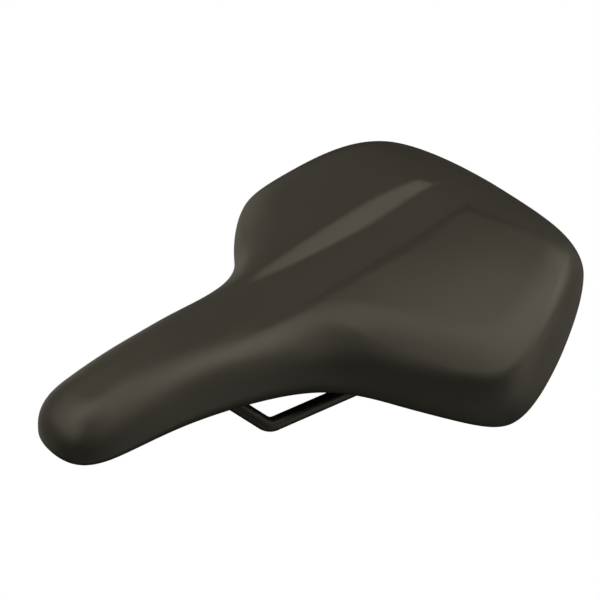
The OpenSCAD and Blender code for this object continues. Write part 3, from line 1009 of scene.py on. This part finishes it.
@dataclass
class BaseShell:
    """Dished base with its ribs, spring bosses and nose pocket."""

    form: SeatForm
    finishes: Finishes
    thickness: float = 3.0
    side_pad: float = 3.5
    skin_t: float = 1.2
    seam: float = 0.1
    dish_power: float = 12.0
    dish_spread: float = 0.6
    dish_steps: int = 28
    dish_spokes: int = 112
    rib_t: float = 2.5
    rib_bottom: float = 38.0
    rib_long_y: float = 20.0
    rib_long_x: tuple[float, float] = (-64.0, 8.0)
    rib_cross_x: tuple[float, ...] = (-58.0, -34.0, -10.0)
    rib_cross_w: float = 110.0
    rib_steps: int = 24
    rib_foot: Corner = ((-0.5, 0.0), (-0.1, 0.4))
    rib_root: Corner = ((0.1, -1.4), (0.4, -0.4), (1.4, 0.15), (0.0, 1.6))
    boss_at: tuple[float, float] = (-84.0, 42.0)
    boss_d: float = 22.0
    boss_bottom: float = 38.0
    boss_foot: Corner = ((-0.8, 0.0), (-0.2, 0.2), (0.0, 0.8))
    boss_root: Corner = ((0.0, -1.0), (0.5, -0.3), (1.5, 0.4), (0.0, 1.5))
    insert_d: float = 7.0
    insert_l: float = 7.5
    pocket_x: float = 102.0
    pocket_z: float = 22.0
    pocket_l: float = 30.0
    pocket_w: float = 11.0
    pocket_round: float = 0.6
    bush_r: float = 5.0
    screw_d: float = 4.0
    screw_pitch: float = 21.0
    screw_grip: float = 9.0

    def dish_face(self, s: Spokes, sink: float, rise: float, inset: float = 0.0) -> np.ndarray:
        """One face of the dish, from the middle line to its edge.

        Args:
            s: Spokes.
            sink: How far the face lies below the dish's crown.
            rise: How far it is lifted.
            inset: How far its edge lies inside the base's edge.

        Returns:
            Spokes by points by x, y and z.
        """
        edge_d = s.length - self.form.side_tuck - self.side_pad - inset
        edge_z = s.rim + self.skin_t + self.seam + (self.thickness - sink)
        share = np.linspace(0.0, 1.0, self.dish_steps + 1) ** self.dish_spread
        x, y = s.along(edge_d[:, None] * share)
        crown = self.form.at_station(self.form.base_z, x) - sink
        z = rise + edge_z[:, None] + (crown - edge_z[:, None]) * (1 - share**self.dish_power)
        return np.stack([x, y, z], axis=-1)

    def dish(self) -> Object:
        """Plain dish, with no ribs."""
        s = self.form.spokes(self.dish_spokes)
        lip = self.form.rim_points(s, self.side_pad, self.skin_t + self.seam)
        over = self.dish_face(s, 0.0, 0.0)
        under = self.dish_face(s, self.thickness, 0.0, self.thickness)[:, ::-1]
        sections = np.concatenate([over, lip, under], axis=1)
        return add_object("seat_base", spoke_mesh("seat_base", sections, True))

    def rib(self, start: Sequence[float], end: Sequence[float], ceiling: BVHTree) -> Object:
        """A rib with a rounded foot and a flared root.

        Args:
            start: Plan position of one end.
            end: Plan position of the other.
            ceiling: The dish that it grows from.

        Returns:
            The rib, as a closed mesh that reaches into the dish.
        """
        a, b = np.asarray(start, float), np.asarray(end, float)
        along = (b - a) / np.linalg.norm(b - a)
        side = np.array([-along[1], along[0]])
        half = self.rib_t / 2
        rows = []
        for share in np.linspace(0.0, 1.0, self.rib_steps + 1):
            spot = a + share * (b - a)
            root = self.height_under(ceiling, spot)
            right = corner_at(half, self.rib_bottom, self.rib_foot) + corner_at(half, root, self.rib_root)
            outline = right + [(-offset, height) for offset, height in right[::-1]]
            rows.append([[*(spot + offset * side), height] for offset, height in outline])
        points = np.array(rows)
        count = points.shape[1]
        faces = [list(range(count))[::-1], [(len(rows) - 1) * count + k for k in range(count)]]
        for i in range(len(rows) - 1):
            for k in range(count):
                first, second = i * count + k, i * count + (k + 1) % count
                faces.append([first, second, second + count, first + count])
        piece = add_object("rib", mesh_from("rib", points.reshape(-1, 3), faces))
        outward(piece)
        return piece

    def height_under(self, ceiling: BVHTree, spot: Sequence[float]) -> float:
        """Height of the dish's underside over a plan position."""
        hit = ceiling.ray_cast(Vector((spot[0] * MM, spot[1] * MM, 0.0)), Vector((0.0, 0.0, 1.0)))
        return hit[0].z / MM

    def build(self) -> Object:
        """Builds the base as one closed mesh."""
        piece = self.dish()
        ceiling = BVHTree.FromObject(piece, bpy.context.evaluated_depsgraph_get())
        reach, (rear, front) = self.rib_cross_w / 2, self.rib_long_x
        added = [self.rib((x, -reach), (x, reach), ceiling) for x in self.rib_cross_x]
        added += [self.rib((rear, y), (front, y), ceiling) for y in (-self.rib_long_y, self.rib_long_y)]
        bores = []
        for side in (-1, 1):
            at = (self.boss_at[0], side * self.boss_at[1], self.boss_bottom)
            root, r = self.height_under(ceiling, at) - self.boss_bottom, self.boss_d / 2
            wall = [*corner_at(r, 0.0, self.boss_foot), *corner_at(r, root, self.boss_root)]
            added.append(lathe("boss", [(0.0, 0.0), *wall, (0.0, wall[-1][1])], at))
            bores.append(lathe("bore", rod_profile(self.insert_d / 2, -self.insert_l, self.insert_l), at))
        low = (self.pocket_x - self.pocket_l / 2, -self.pocket_w / 2, self.pocket_z + self.seam)
        top = self.height_under(ceiling, (self.pocket_x, 0.0)) + self.thickness / 2
        added.append(block("pocket", low, (low[0] + self.pocket_l, -low[1], top), self.pocket_round))
        bores.append(self.bush_bore())
        bores += self.screw_bores(self.screw_d, self.pocket_z + self.screw_grip)
        combined(piece, added, Cut.JOIN)
        combined(piece, bores, Cut.TAKE_AWAY)
        shade(piece)
        return place_piece(piece, Body.SEAT, ["base_shell"], self.finishes.plastic)

    def bush_bore(self) -> Object:
        """Cutter for the bush round the cross-bar."""
        profile = rod_profile(self.bush_r, -self.pocket_w, self.pocket_w)
        return lathe("bush_bore", profile, (self.pocket_x, 0.0, self.pocket_z), (0.0, 1.0, 0.0))

    def screw_places(self) -> tuple[float, float]:
        """Where the two nose screws stand along the saddle."""
        return self.pocket_x - self.screw_pitch / 2, self.pocket_x + self.screw_pitch / 2

    def screw_bores(self, diameter: float, top: float) -> list[Object]:
        """Cutters for the two nose screws, of one diameter and up to one height."""
        profile = rod_profile(diameter / 2, 0.0, top)
        return [lathe("screw_bore", profile, (x, 0.0, 0.0), sides=32) for x in self.screw_places()]


@dataclass
class Seat:
    """Skin and foam."""

    form: SeatForm
    base: BaseShell
    finishes: Finishes
    hem_w: float = 6.0
    rim_round: float = 2.6
    skin_spokes: int = 176
    skin_steps: tuple[int, int, int] = (72, 16, 16)
    fold_steps: int = 7
    hem_steps: int = 3
    foam_spokes: int = 64
    foam_steps: tuple[int, int, int] = (32, 8, 6)
    flat_cut: tuple[float, float] = (0.27, 0.34)
    flat_area: float = 0.054

    def build_skin(self) -> Object:
        """Skin from the crown over the rim to the edge of its hem."""
        form, s = self.form, self.form.spokes(self.skin_spokes)
        outside = form.skin_section(s, 0.0, self.skin_steps, self.rim_round)
        corner = form.rim_points(s, 0.0, 0.0)
        turned = form.rim_points(s, self.rim_round, 0.0)
        share = np.linspace(0.0, 1.0, self.fold_steps + 1)[1:, None]
        fold = (1 - share) ** 2 * outside[:, -1:] + 2 * share * (1 - share) * corner + share**2 * turned
        hem = form.rim_points(s, np.linspace(self.rim_round, self.hem_w, self.hem_steps + 1)[1:], 0.0)
        sections = np.concatenate([outside, fold, hem], axis=1)
        piece = add_object("saddle_skin", spoke_mesh("saddle_skin", sections, closed=False))
        shade(piece, crease=80.0)
        wall = piece.modifiers.new("thickness", "SOLIDIFY")
        wall.thickness = self.base.skin_t * MM
        wall.offset = -1.0
        applied(piece)
        return place_piece(piece, Body.SEAT, ["cover"], self.finishes.skin)

    def build_foam(self) -> Object:
        """Foam between the skin and the base."""
        form, base = self.form, self.base
        s = form.spokes(self.foam_spokes)
        inset = base.skin_t + base.seam
        outside = form.skin_section(s, inset, self.foam_steps)
        rises = np.array([inset, inset + base.thickness + base.seam])
        edge = form.rim_points(s, np.full(2, base.side_pad - base.seam), rises)
        under = base.dish_face(s, 0.0, base.seam)[:, -2::-1]
        sections = np.concatenate([outside, edge, under], axis=1)
        piece = add_object("seat_foam", spoke_mesh("seat_foam", sections, closed=True))
        shade(piece, crease=60.0)
        return place_piece(piece, Body.SEAT, ["foam_pad"], self.finishes.foam)

    def build(self) -> None:
        """Builds both pieces."""
        foam, skin = self.build_foam(), self.build_skin()


@dataclass
class HemStaples:
    """Wire staples that hold the hem to the base's edge."""

    form: SeatForm
    finishes: Finishes
    spokes: int = 30
    step: int = 2
    inset: float = 5.0
    crown: float = 9.0
    wire: float = 0.9
    wire_points: int = 21
    wire_sides: int = 8
    leg: float = 1.1
    bend: float = 1.2

    def tree(self) -> NodeTree:
        """Tree that sets one bent staple on each point of a mesh."""
        tree, given = new_tree(
            "staple_row",
            {
                "Crown": "NodeSocketFloat",
                "Wire": "NodeSocketFloat",
                "Leg": "NodeSocketFloat",
                "Bend": "NodeSocketFloat",
                "Finish": "NodeSocketMaterial",
            },
        )
        halve = {"operation": "MULTIPLY", 1: 0.5}
        half = add_node(tree, "ShaderNodeMath", halve, {0: given.outputs["Crown"]})
        minus = add_node(tree, "ShaderNodeMath", {"operation": "MULTIPLY", 1: -1.0}, {0: half.outputs[0]})
        start = add_node(tree, "ShaderNodeCombineXYZ", links={"X": minus.outputs[0]})
        end = add_node(tree, "ShaderNodeCombineXYZ", links={"X": half.outputs[0]})
        line = add_node(
            tree, "GeometryNodeCurvePrimitiveLine", links={"Start": start.outputs[0], "End": end.outputs[0]}
        )
        count = {"Count": self.wire_points}
        points = add_node(tree, "GeometryNodeResampleCurve", count, {"Curve": line.outputs[0]})
        spot = add_node(tree, "GeometryNodeInputPosition")
        parts = add_node(tree, "ShaderNodeSeparateXYZ", links={0: spot.outputs[0]})
        off = add_node(tree, "ShaderNodeMath", {"operation": "ABSOLUTE"}, {0: parts.outputs["X"]})
        inner = add_node(
            tree, "ShaderNodeMath", {"operation": "SUBTRACT"}, {0: half.outputs[0], 1: given.outputs["Bend"]}
        )
        bent = add_node(
            tree,
            "ShaderNodeMapRange",
            {"interpolation_type": "SMOOTHSTEP", "To Max": 1.0},
            {"Value": off.outputs[0], "From Min": inner.outputs[0], "From Max": half.outputs[0]},
        )
        factors = {0: bent.outputs["Result"], 1: given.outputs["Leg"]}
        lift = add_node(tree, "ShaderNodeMath", {"operation": "MULTIPLY"}, factors)
        up = add_node(tree, "ShaderNodeCombineXYZ", links={"Z": lift.outputs[0]})
        moved = {"Geometry": points.outputs[0], "Offset": up.outputs[0]}
        shaped = add_node(tree, "GeometryNodeSetPosition", links=moved)
        thin = add_node(tree, "ShaderNodeMath", halve, {0: given.outputs["Wire"]})
        sides = {"Resolution": self.wire_sides}
        ring = add_node(tree, "GeometryNodeCurvePrimitiveCircle", sides, {"Radius": thin.outputs[0]})
        wire = add_node(
            tree,
            "GeometryNodeCurveToMesh",
            {"Fill Caps": True},
            {"Curve": shaped.outputs[0], "Profile Curve": ring.outputs[0]},
        )
        lay = add_node(tree, "GeometryNodeInputNamedAttribute", {"data_type": "FLOAT_VECTOR", "Name": "lay"})
        face = add_node(tree, "GeometryNodeInputNamedAttribute", {"data_type": "FLOAT_VECTOR", "Name": "face"})
        turned = add_node(
            tree,
            "FunctionNodeAxesToRotation",
            {"primary_axis": "X", "secondary_axis": "Z"},
            {"Primary Axis": lay.outputs[0], "Secondary Axis": face.outputs[0]},
        )
        spread = add_node(
            tree,
            "GeometryNodeInstanceOnPoints",
            links={
                "Points": given.outputs["Geometry"],
                "Instance": wire.outputs[0],
                "Rotation": turned.outputs[0],
            },
        )
        close_tree(tree, spread.outputs[0], given.outputs["Finish"])
        return tree

    def build(self) -> Object:
        """Builds all staples as one piece."""
        s = self.form.spokes(self.spokes)
        rim = self.form.rim_points(s, self.inset, 0.0)[:, 0]
        first = rim[1 : self.spokes - 1 : self.step]
        second = rim[2 : self.spokes : self.step]
        middle, run = (first + second) / 2, second - first
        run /= np.linalg.norm(run, axis=1)[:, None]
        middle, run = (np.concatenate([rows, rows * MIRROR]) for rows in (middle, run))
        middle[:, 2] -= self.wire / 2
        seed = mesh_from("hem_staples", middle, [])
        for name, rows in (("lay", run), ("face", np.tile([0.0, 0.0, 1.0], (len(run), 1)))):
            attribute = seed.attributes.new(name, "FLOAT_VECTOR", "POINT")
            attribute.data.foreach_set("vector", rows.astype(np.float32).ravel())
        piece = grown(
            "hem_staples",
            seed,
            self.tree(),
            {
                "Crown": self.crown * MM,
                "Wire": self.wire * MM,
                "Leg": self.leg * MM,
                "Bend": self.bend * MM,
                "Finish": self.finishes.steel,
            },
        )
        shade(piece)
        return place_piece(piece, Body.SEAT, ["cover_staples"])


@dataclass
class Fasteners:
    """Cap screws and washers, set out from one pattern piece each."""

    base: BaseShell
    finishes: Finishes
    bolt_seat: float = 4.5
    bolt_d: float = 5.0
    bolt_l: float = 40.0
    bolt_head: tuple[float, float] = (8.5, 5.0)
    nose_seat: float = 13.0
    nose_l: float = 17.0
    nose_head: tuple[float, float] = (7.0, 2.6)
    head_top: Corner = ((-0.5, 0.0), (-0.15, 0.15), (0.0, 0.5))
    head_seat: Corner = ((0.0, -0.25), (-0.25, 0.0))
    screw_tip: float = 0.6
    bolt_key: float = 4.0
    nose_key: float = 2.5
    washer: tuple[float, float, float] = (14.0, 5.2, 1.2)
    washer_round: float = 0.2
    most_turn: float = math.pi / 3
    seed: int = 7

    def tree(self) -> NodeTree:
        """Tree that sets a pattern piece on each point, each turned about its own axis by chance."""
        tree, given = new_tree(
            "set_out_fasteners",
            {
                "Pattern": "NodeSocketObject",
                "Most turn": "NodeSocketFloat",
                "Seed": "NodeSocketInt",
                "Finish": "NodeSocketMaterial",
            },
        )
        pattern = add_node(tree, "GeometryNodeObjectInfo", links={"Object": given.outputs["Pattern"]})
        turn = add_node(
            tree,
            "FunctionNodeRandomValue",
            {"data_type": "FLOAT"},
            {"Max": given.outputs["Most turn"], "Seed": given.outputs["Seed"]},
        )
        value = next(o for o in turn.outputs if o.enabled)
        angles = add_node(tree, "ShaderNodeCombineXYZ", links={"Z": value})
        spread = add_node(
            tree,
            "GeometryNodeInstanceOnPoints",
            links={
                "Points": given.outputs["Geometry"],
                "Instance": pattern.outputs["Geometry"],
                "Rotation": angles.outputs[0],
            },
        )
        close_tree(tree, spread.outputs[0], given.outputs["Finish"])
        return tree

    def cap_screw(self, diameter: float, length: float, head: tuple[float, float], key: float) -> Object:
        """Pattern of a cap screw with its head's underside at the origin and the head below.

        Args:
            diameter: Shank diameter.
            length: Shank length.
            head: Diameter and height of the head.
            key: Width of its hexagon socket.

        Returns:
            The pattern.
        """
        r, top = head[0] / 2, -head[1]
        shank, tip = diameter / 2, self.screw_tip
        profile = [
            (0, top), *corner_at(r, top, self.head_top), *corner_at(r, 0.0, self.head_seat),
            (shank, 0.0), (shank, length - tip), (shank - tip, length), (0, length),
        ]
        piece = lathe("screw_pattern", profile, (0, 0, 0), sides=48)
        hexagon = rod_profile(key / math.sqrt(3), 2 * top, top / 2)
        combined(piece, [lathe("socket", hexagon, (0, 0, 0), sides=6)], Cut.TAKE_AWAY)
        shade(piece, crease=30.0)
        return piece

    def set_out(self, name: str, pattern: Object, places: Sequence[Sequence[float]], node: str) -> Object:
        """Repeats a pattern piece at its places.

        Args:
            name: Name of the group.
            pattern: Piece to repeat, which is deleted afterwards.
            places: Where each goes.
            node: Solid that the group replaces.

        Returns:
            The group as one piece.
        """
        piece = grown(
            name,
            mesh_from(name, np.array(places, float), []),
            self.tree(),
            {
                "Pattern": pattern,
                "Most turn": self.most_turn,
                "Seed": self.seed,
                "Finish": self.finishes.steel,
            },
        )
        discard(pattern)
        return place_piece(piece, Body.SEAT, [node])

    def build(self) -> None:
        """Builds bolts, washers and nose screws."""
        x, y = self.base.boss_at
        springs = [(x, side * y, self.bolt_seat) for side in (-1, 1)]
        bolt = self.cap_screw(self.bolt_d, self.bolt_l, self.bolt_head, self.bolt_key)
        self.set_out("spring_bolt_pair", bolt, springs, "spring_bolts")
        outer, inner, thick = self.washer
        r, edge = outer / 2, self.washer_round
        rim = [(r - edge, 0.0), (r, edge), (r, thick - edge), (r - edge, thick)]
        washer = lathe("washer_pattern", [(inner / 2, 0.0), *rim, (inner / 2, thick)], (0, 0, 0))
        shade(washer, crease=30.0)
        self.set_out("washer_pair", washer, springs, "bolt_washers")
        screw = self.cap_screw(self.base.screw_d, self.nose_l, self.nose_head, self.nose_key)
        places = [(x, 0.0, self.nose_seat) for x in self.base.screw_places()]
        self.set_out("nose_screw_pair", screw, places, "nose_screws")


@dataclass
class NoseMount:
    """Clip that closes the pocket round the cross-bar, and the bush halves."""

    base: BaseShell
    finishes: Finishes
    clip_h: float = 9.0
    clip_round: float = 0.8

    def build(self) -> None:
        """Builds the clip and finishes the bush halves."""
        b = self.base
        low = (b.pocket_x - b.pocket_l / 2, -b.pocket_w / 2, b.pocket_z - self.clip_h)
        high = (low[0] + b.pocket_l, -low[1], b.pocket_z - b.seam)
        piece = block("nose_clamp", low, high, self.clip_round)
        combined(piece, [b.bush_bore(), *b.screw_bores(b.screw_d + 2 * b.seam, b.pocket_z)], Cut.TAKE_AWAY)
        shade(piece)
        place_piece(piece, Body.SEAT, ["nose_clip"], self.finishes.plastic)
        for node in ("nose_bush_upper", "nose_bush_lower"):
            dress_solid(node, self.finishes.rubber)
        dress_solid("insert_nuts", self.finishes.brass)


@dataclass
class RailFrame:
    """Wire rail, rear bridge and elastomers."""

    base: BaseShell
    finishes: Finishes
    wire_d: float = 7.0
    gauge: float = 44.0
    clamp_l: float = 88.0
    nose_y: float = 10.0
    leg_x: float = 22.0
    rear_rise: float = 14.0
    rear_splay: float = 5.0
    rear_leg: float = 48.0
    bends: tuple[float, ...] = (0.0, 25.0, 8.0, 12.0, 7.0)
    sides: int = 48
    spring_d: float = 24.0
    spring_bore: float = 8.6
    spring_z: tuple[float, float] = (18.1, 37.8)
    spring_waist: float = 1.5
    waist_share: float = 0.13
    bore_foot: Corner = ((0.0, 0.5), (0.5, 0.0))
    spring_foot: Corner = ((-0.7, 0.0), (-0.2, 0.2))
    spring_edge: float = 0.7
    spring_steps: int = 28
    spring_keep: float = 0.62
    bridge_z: tuple[float, float] = (6.0, 18.0)
    beam_w: float = 18.0
    beam_z: tuple[float, float] = (8.0, 16.0)
    beam_round: float = 1.5
    lip: float = 1.5
    cup_foot: Corner = ((-1.2, 0.0), (-0.35, 0.35), (0.0, 1.2))
    cup_brim: Corner = ((0.0, -0.4), (-0.4, 0.0), (-1.2, 0.0))
    cup_lead: float = 1.2
    bolt_hole: float = 8.0
    socket_d: float = 14.0
    socket_l: float = 23.0
    socket_wall: float = 3.0
    socket_back: Corner = ((-0.8, 0.0), (0.0, 0.8))
    socket_end: Corner = ((0.0, -1.5), (-0.45, -0.45), (-1.5, 0.0))

    def rear_way(self) -> np.ndarray:
        """Direction of the left rear leg."""
        rise, splay = math.radians(self.rear_rise), math.radians(self.rear_splay)
        return np.array([-math.cos(rise) * math.cos(splay), math.cos(rise) * math.sin(splay), math.sin(rise)])

    def left_path(self) -> list[np.ndarray]:
        """Corners of the left half of the wire, from its rear end to the cross-bar."""
        y, half = self.gauge / 2, self.clamp_l / 2
        leg = np.array([self.leg_x, self.nose_y - y, self.base.pocket_z])
        rear_turn = math.acos(-self.rear_way()[0])
        front_turn = math.acos(leg[0] / np.linalg.norm(leg))
        rear = np.array([-half - self.bends[1] * math.tan(rear_turn / 2), y, 0.0])
        front = np.array([half + self.bends[2] * math.tan(front_turn / 2), y, 0.0])
        nose = np.array([self.base.pocket_x, self.nose_y, self.base.pocket_z])
        return [rear + self.rear_leg * self.rear_way(), rear, front, front + leg, nose]

    def tree(self) -> NodeTree:
        """Tree that draws a round wire along the edges of a mesh."""
        tree, given = new_tree(
            "drawn_wire",
            {"Diameter": "NodeSocketFloat", "Sides": "NodeSocketInt", "Finish": "NodeSocketMaterial"},
        )
        line = add_node(tree, "GeometryNodeMeshToCurve", links={"Mesh": given.outputs["Geometry"]})
        halve = {"operation": "MULTIPLY", 1: 0.5}
        thin = add_node(tree, "ShaderNodeMath", halve, {0: given.outputs["Diameter"]})
        ring = add_node(
            tree,
            "GeometryNodeCurvePrimitiveCircle",
            links={"Radius": thin.outputs[0], "Resolution": given.outputs["Sides"]},
        )
        wire = add_node(
            tree,
            "GeometryNodeCurveToMesh",
            {"Fill Caps": True},
            {"Curve": line.outputs[0], "Profile Curve": ring.outputs[0]},
        )
        close_tree(tree, wire.outputs[0], given.outputs["Finish"])
        return tree

    def build_wire(self) -> Object:
        """Rail, bent from one wire."""
        left = self.left_path()
        right = [corner * MIRROR for corner in left[::-1]]
        path = filleted([*left, *right], [*self.bends, *self.bends[::-1]])
        seed = bpy.data.meshes.new("wire_rail")
        seed.from_pydata((path * MM).tolist(), [(i, i + 1) for i in range(len(path) - 1)], [])
        piece = grown(
            "wire_rail",
            seed,
            self.tree(),
            {"Diameter": self.wire_d * MM, "Sides": self.sides, "Finish": self.finishes.paint},
        )
        shade(piece, crease=60.0)
        return place_piece(piece, Body.RAIL_FRAME, ["rail"])

    def build_bridge(self) -> Object:
        """Moulded bridge between the rail's rear ends and the elastomers."""
        x, y = self.base.boss_at
        low, high = self.bridge_z
        half, (under, over) = self.beam_w / 2, self.beam_z
        piece = block("spring_bridge", (x - half, -y, under), (x + half, y, over), self.beam_round, steps=4)
        r, brim = self.spring_d / 2 + self.lip, high + self.lip
        inner = self.spring_d / 2 + self.base.seam
        outside = [*corner_at(r, low, self.cup_foot), *corner_at(r, brim, self.cup_brim)]
        cup = [(0, low), *outside, (inner, high + self.cup_lead), (inner, high), (0, high)]
        rs, back, wall = self.socket_d / 2, -self.socket_l, self.socket_wall
        outside = [*corner_at(rs, back, self.socket_back), *corner_at(rs, wall, self.socket_end)]
        socket = [(0, back), *outside, (0, wall)]
        bolt_hole = rod_profile(self.bolt_hole / 2, 0, 2 * high)
        wire_hole = rod_profile(self.wire_d / 2, 2 * back, 0)
        added, bores = [], []
        for side in (-1.0, 1.0):
            flip = np.array([1.0, side, 1.0])
            end, way = self.left_path()[0] * flip, self.rear_way() * flip
            spot = (x, side * y, 0.0)
            added += [lathe("cup", cup, spot), lathe("socket", socket, end, way)]
            bores += [lathe("bolt_hole", bolt_hole, spot), lathe("wire_hole", wire_hole, end, way)]
        combined(piece, added, Cut.JOIN)
        combined(piece, bores, Cut.TAKE_AWAY)
        shade(piece)
        return place_piece(piece, Body.RAIL_FRAME, ["rear_bridge"], self.finishes.plastic)

    def build_springs(self) -> None:
        """Two elastomer sleeves with rounded ends and a waist."""
        low, high = self.spring_z
        rise, r, bore = high - low, self.spring_d / 2, self.spring_bore / 2
        heights = np.linspace(self.spring_edge, rise - self.spring_edge, self.spring_steps)
        groove = np.exp(-np.abs((heights / rise - 0.5) / self.waist_share) ** 3)
        lower = [*corner_at(bore, 0.0, self.bore_foot), *corner_at(r, 0.0, self.spring_foot)]
        upper = [(radius, rise - height) for radius, height in lower[::-1]]
        profile = [*lower, *zip(r - self.spring_waist * groove, heights), *upper]
        for side, name in ((1, "left"), (-1, "right")):
            at = (self.base.boss_at[0], side * self.base.boss_at[1], low)
            piece = lathe(f"spring_sleeve_{name}", profile, at)
            shade(piece, crease=50.0)
            place_piece(piece, Body.RAIL_FRAME, [f"elastomer_{name}"], self.finishes.rubber)
            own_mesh(piece)

    def build(self) -> None:
        """Builds the wire, the bridge and the elastomers."""
        self.build_wire()
        self.build_bridge()
        self.build_springs()


# Studio


def bearing(azimuth: float, elevation: float) -> Vector:
    """Unit vector of an azimuth from +X towards +Y and an elevation, both in degrees."""
    a, e = math.radians(azimuth), math.radians(elevation)
    return Vector((math.cos(a) * math.cos(e), math.sin(a) * math.cos(e), math.sin(e)))


def set_up(data: bpy.types.Camera | bpy.types.Light, spot: Vector, way: Vector) -> Object:
    """Puts a camera or a lamp in its place.

    Args:
        data: Camera or lamp.
        spot: Where it stands, in millimetres.
        way: Direction in which it looks.

    Returns:
        Its object.
    """
    stand = add_object(data.name, data)
    stand.location = spot * MM
    stand.rotation_mode = "QUATERNION"
    stand.rotation_quaternion = way.to_track_quat("-Z", "Y")
    return stand


@dataclass(frozen=True)
class Lamp:
    """One soft box of the light tent, given by its bearing from the saddle and its watts."""

    azimuth: float
    elevation: float
    power: float


@dataclass
class Studio:
    """A light tent: soft boxes all round, a pale floor and a camera at the photograph's angle."""

    azimuth: float = 142.74
    elevation: float = 33.705
    stand: tuple[float, float, float] = (0.0, 0.0, 30.0)
    distance: float = 1218.8
    aim: tuple[float, float, float] = (6.2, -9.8, 36.1)
    lens: float = 156.5
    clip: tuple[float, float] = (0.01, 50.0)
    floor_z: float = -2000.0
    floor_size: float = 30000.0
    backdrop: str = "#ffffff"
    lamps: tuple[Lamp, ...] = (
        Lamp(0, 90, 2.78), Lamp(90, 60, 1.65), Lamp(135, 60, 4.02), Lamp(180, 60, 1.54),
        Lamp(315, 60, 5.56), Lamp(0, 30, 3.50), Lamp(72, 30, 1.34), Lamp(144, 30, 5.36),
        Lamp(180, 30, 3.60), Lamp(252, 30, 0.32), Lamp(324, 30, 2.88), Lamp(126, 5, 1.85),
        Lamp(270, 5, 0.64), Lamp(90, -20, 0.68), Lamp(135, -20, 2.27), Lamp(180, -20, 0.74),
        Lamp(270, -20, 1.54), Lamp(315, -20, 0.85), Lamp(30, -50, 1.03), Lamp(90, -50, 1.01),
    )
    lamp_middle: tuple[float, float, float] = (0.0, 0.0, 40.0)
    lamp_distance: float = 1400.0
    lamp_size: float = 850.0
    # Lamps below this elevation are larger, which keeps the light on the side walls even
    low_lamp_top: float = 10.0
    low_lamp_size: float = 1150.0
    lamp_colour: str = "#fff7e1"

    def camera(self) -> None:
        """Camera at the photograph's viewing angle."""
        data = bpy.data.cameras.new("photo_camera")
        data.lens = self.lens
        data.clip_start, data.clip_end = self.clip
        # A view's azimuth counts from -Y, a lamp's from +X
        spot = Vector(self.stand) + bearing(self.azimuth - 90.0, self.elevation) * self.distance
        bpy.context.scene.camera = set_up(data, spot, Vector(self.aim) - spot)

    def floor(self) -> None:
        """Pale glowing floor, deep enough for views from below, which the lower lamps shine through."""
        half = self.floor_size / 2
        corners = [(-half, -half), (half, -half), (half, half), (-half, half)]
        mesh = mesh_from("floor", np.array([(x, y, self.floor_z) for x, y in corners]), [(0, 1, 2, 3)])
        floor = add_object("floor", mesh)
        floor.visible_diffuse = floor.visible_glossy = floor.visible_shadow = False
        material, shader, _ = new_material("glowing_white_floor")
        shader.inputs["Base Color"].default_value = linear("#000000")
        shader.inputs["Specular IOR Level"].default_value = 0.0
        shader.inputs["Emission Color"].default_value = linear(self.backdrop)
        shader.inputs["Emission Strength"].default_value = 1.0
        mesh.materials.append(material)

    def walls(self) -> None:
        """White walls of the tent, which the camera sees and which give no light of their own."""
        world = bpy.data.worlds.new("tent_walls")
        bpy.context.scene.world = world
        world.use_nodes = True
        world.node_tree.nodes["Background"].inputs["Color"].default_value = linear(self.backdrop)
        world.cycles_visibility.diffuse = world.cycles_visibility.glossy = False

    def light(self, number: int, lamp: Lamp) -> None:
        """A square soft light that faces the saddle.

        Args:
            number: Its number, for its name.
            lamp: Its bearing and power.
        """
        data = bpy.data.lights.new(f"soft_box_{number}", "AREA")
        low = lamp.elevation < self.low_lamp_top
        data.size = (self.low_lamp_size if low else self.lamp_size) * MM
        data.energy = lamp.power
        data.color = linear(self.lamp_colour)[:3]
        way = bearing(lamp.azimuth, lamp.elevation)
        box = set_up(data, Vector(self.lamp_middle) + way * self.lamp_distance, -way)
        box.visible_camera = False

    def build(self) -> None:
        """Builds camera, floor, walls and lights."""
        self.camera()
        self.floor()
        self.walls()
        for number, lamp in enumerate(self.lamps):
            self.light(number, lamp)
        bpy.context.scene.view_settings.view_transform = "Standard"


def main() -> None:
    """Builds the saddle and its studio."""
    logging.basicConfig(level=logging.INFO, format="%(name)s: %(message)s")
    finishes = Finishes()
    form = SeatForm()
    Studio().build()
    base = BaseShell(form, finishes)
    base.build()
    Seat(form, base, finishes).build()
    HemStaples(form, finishes).build()
    Fasteners(base, finishes).build()
    NoseMount(base, finishes).build()
    RailFrame(base, finishes).build()


if __name__ == "__main__":
    main()
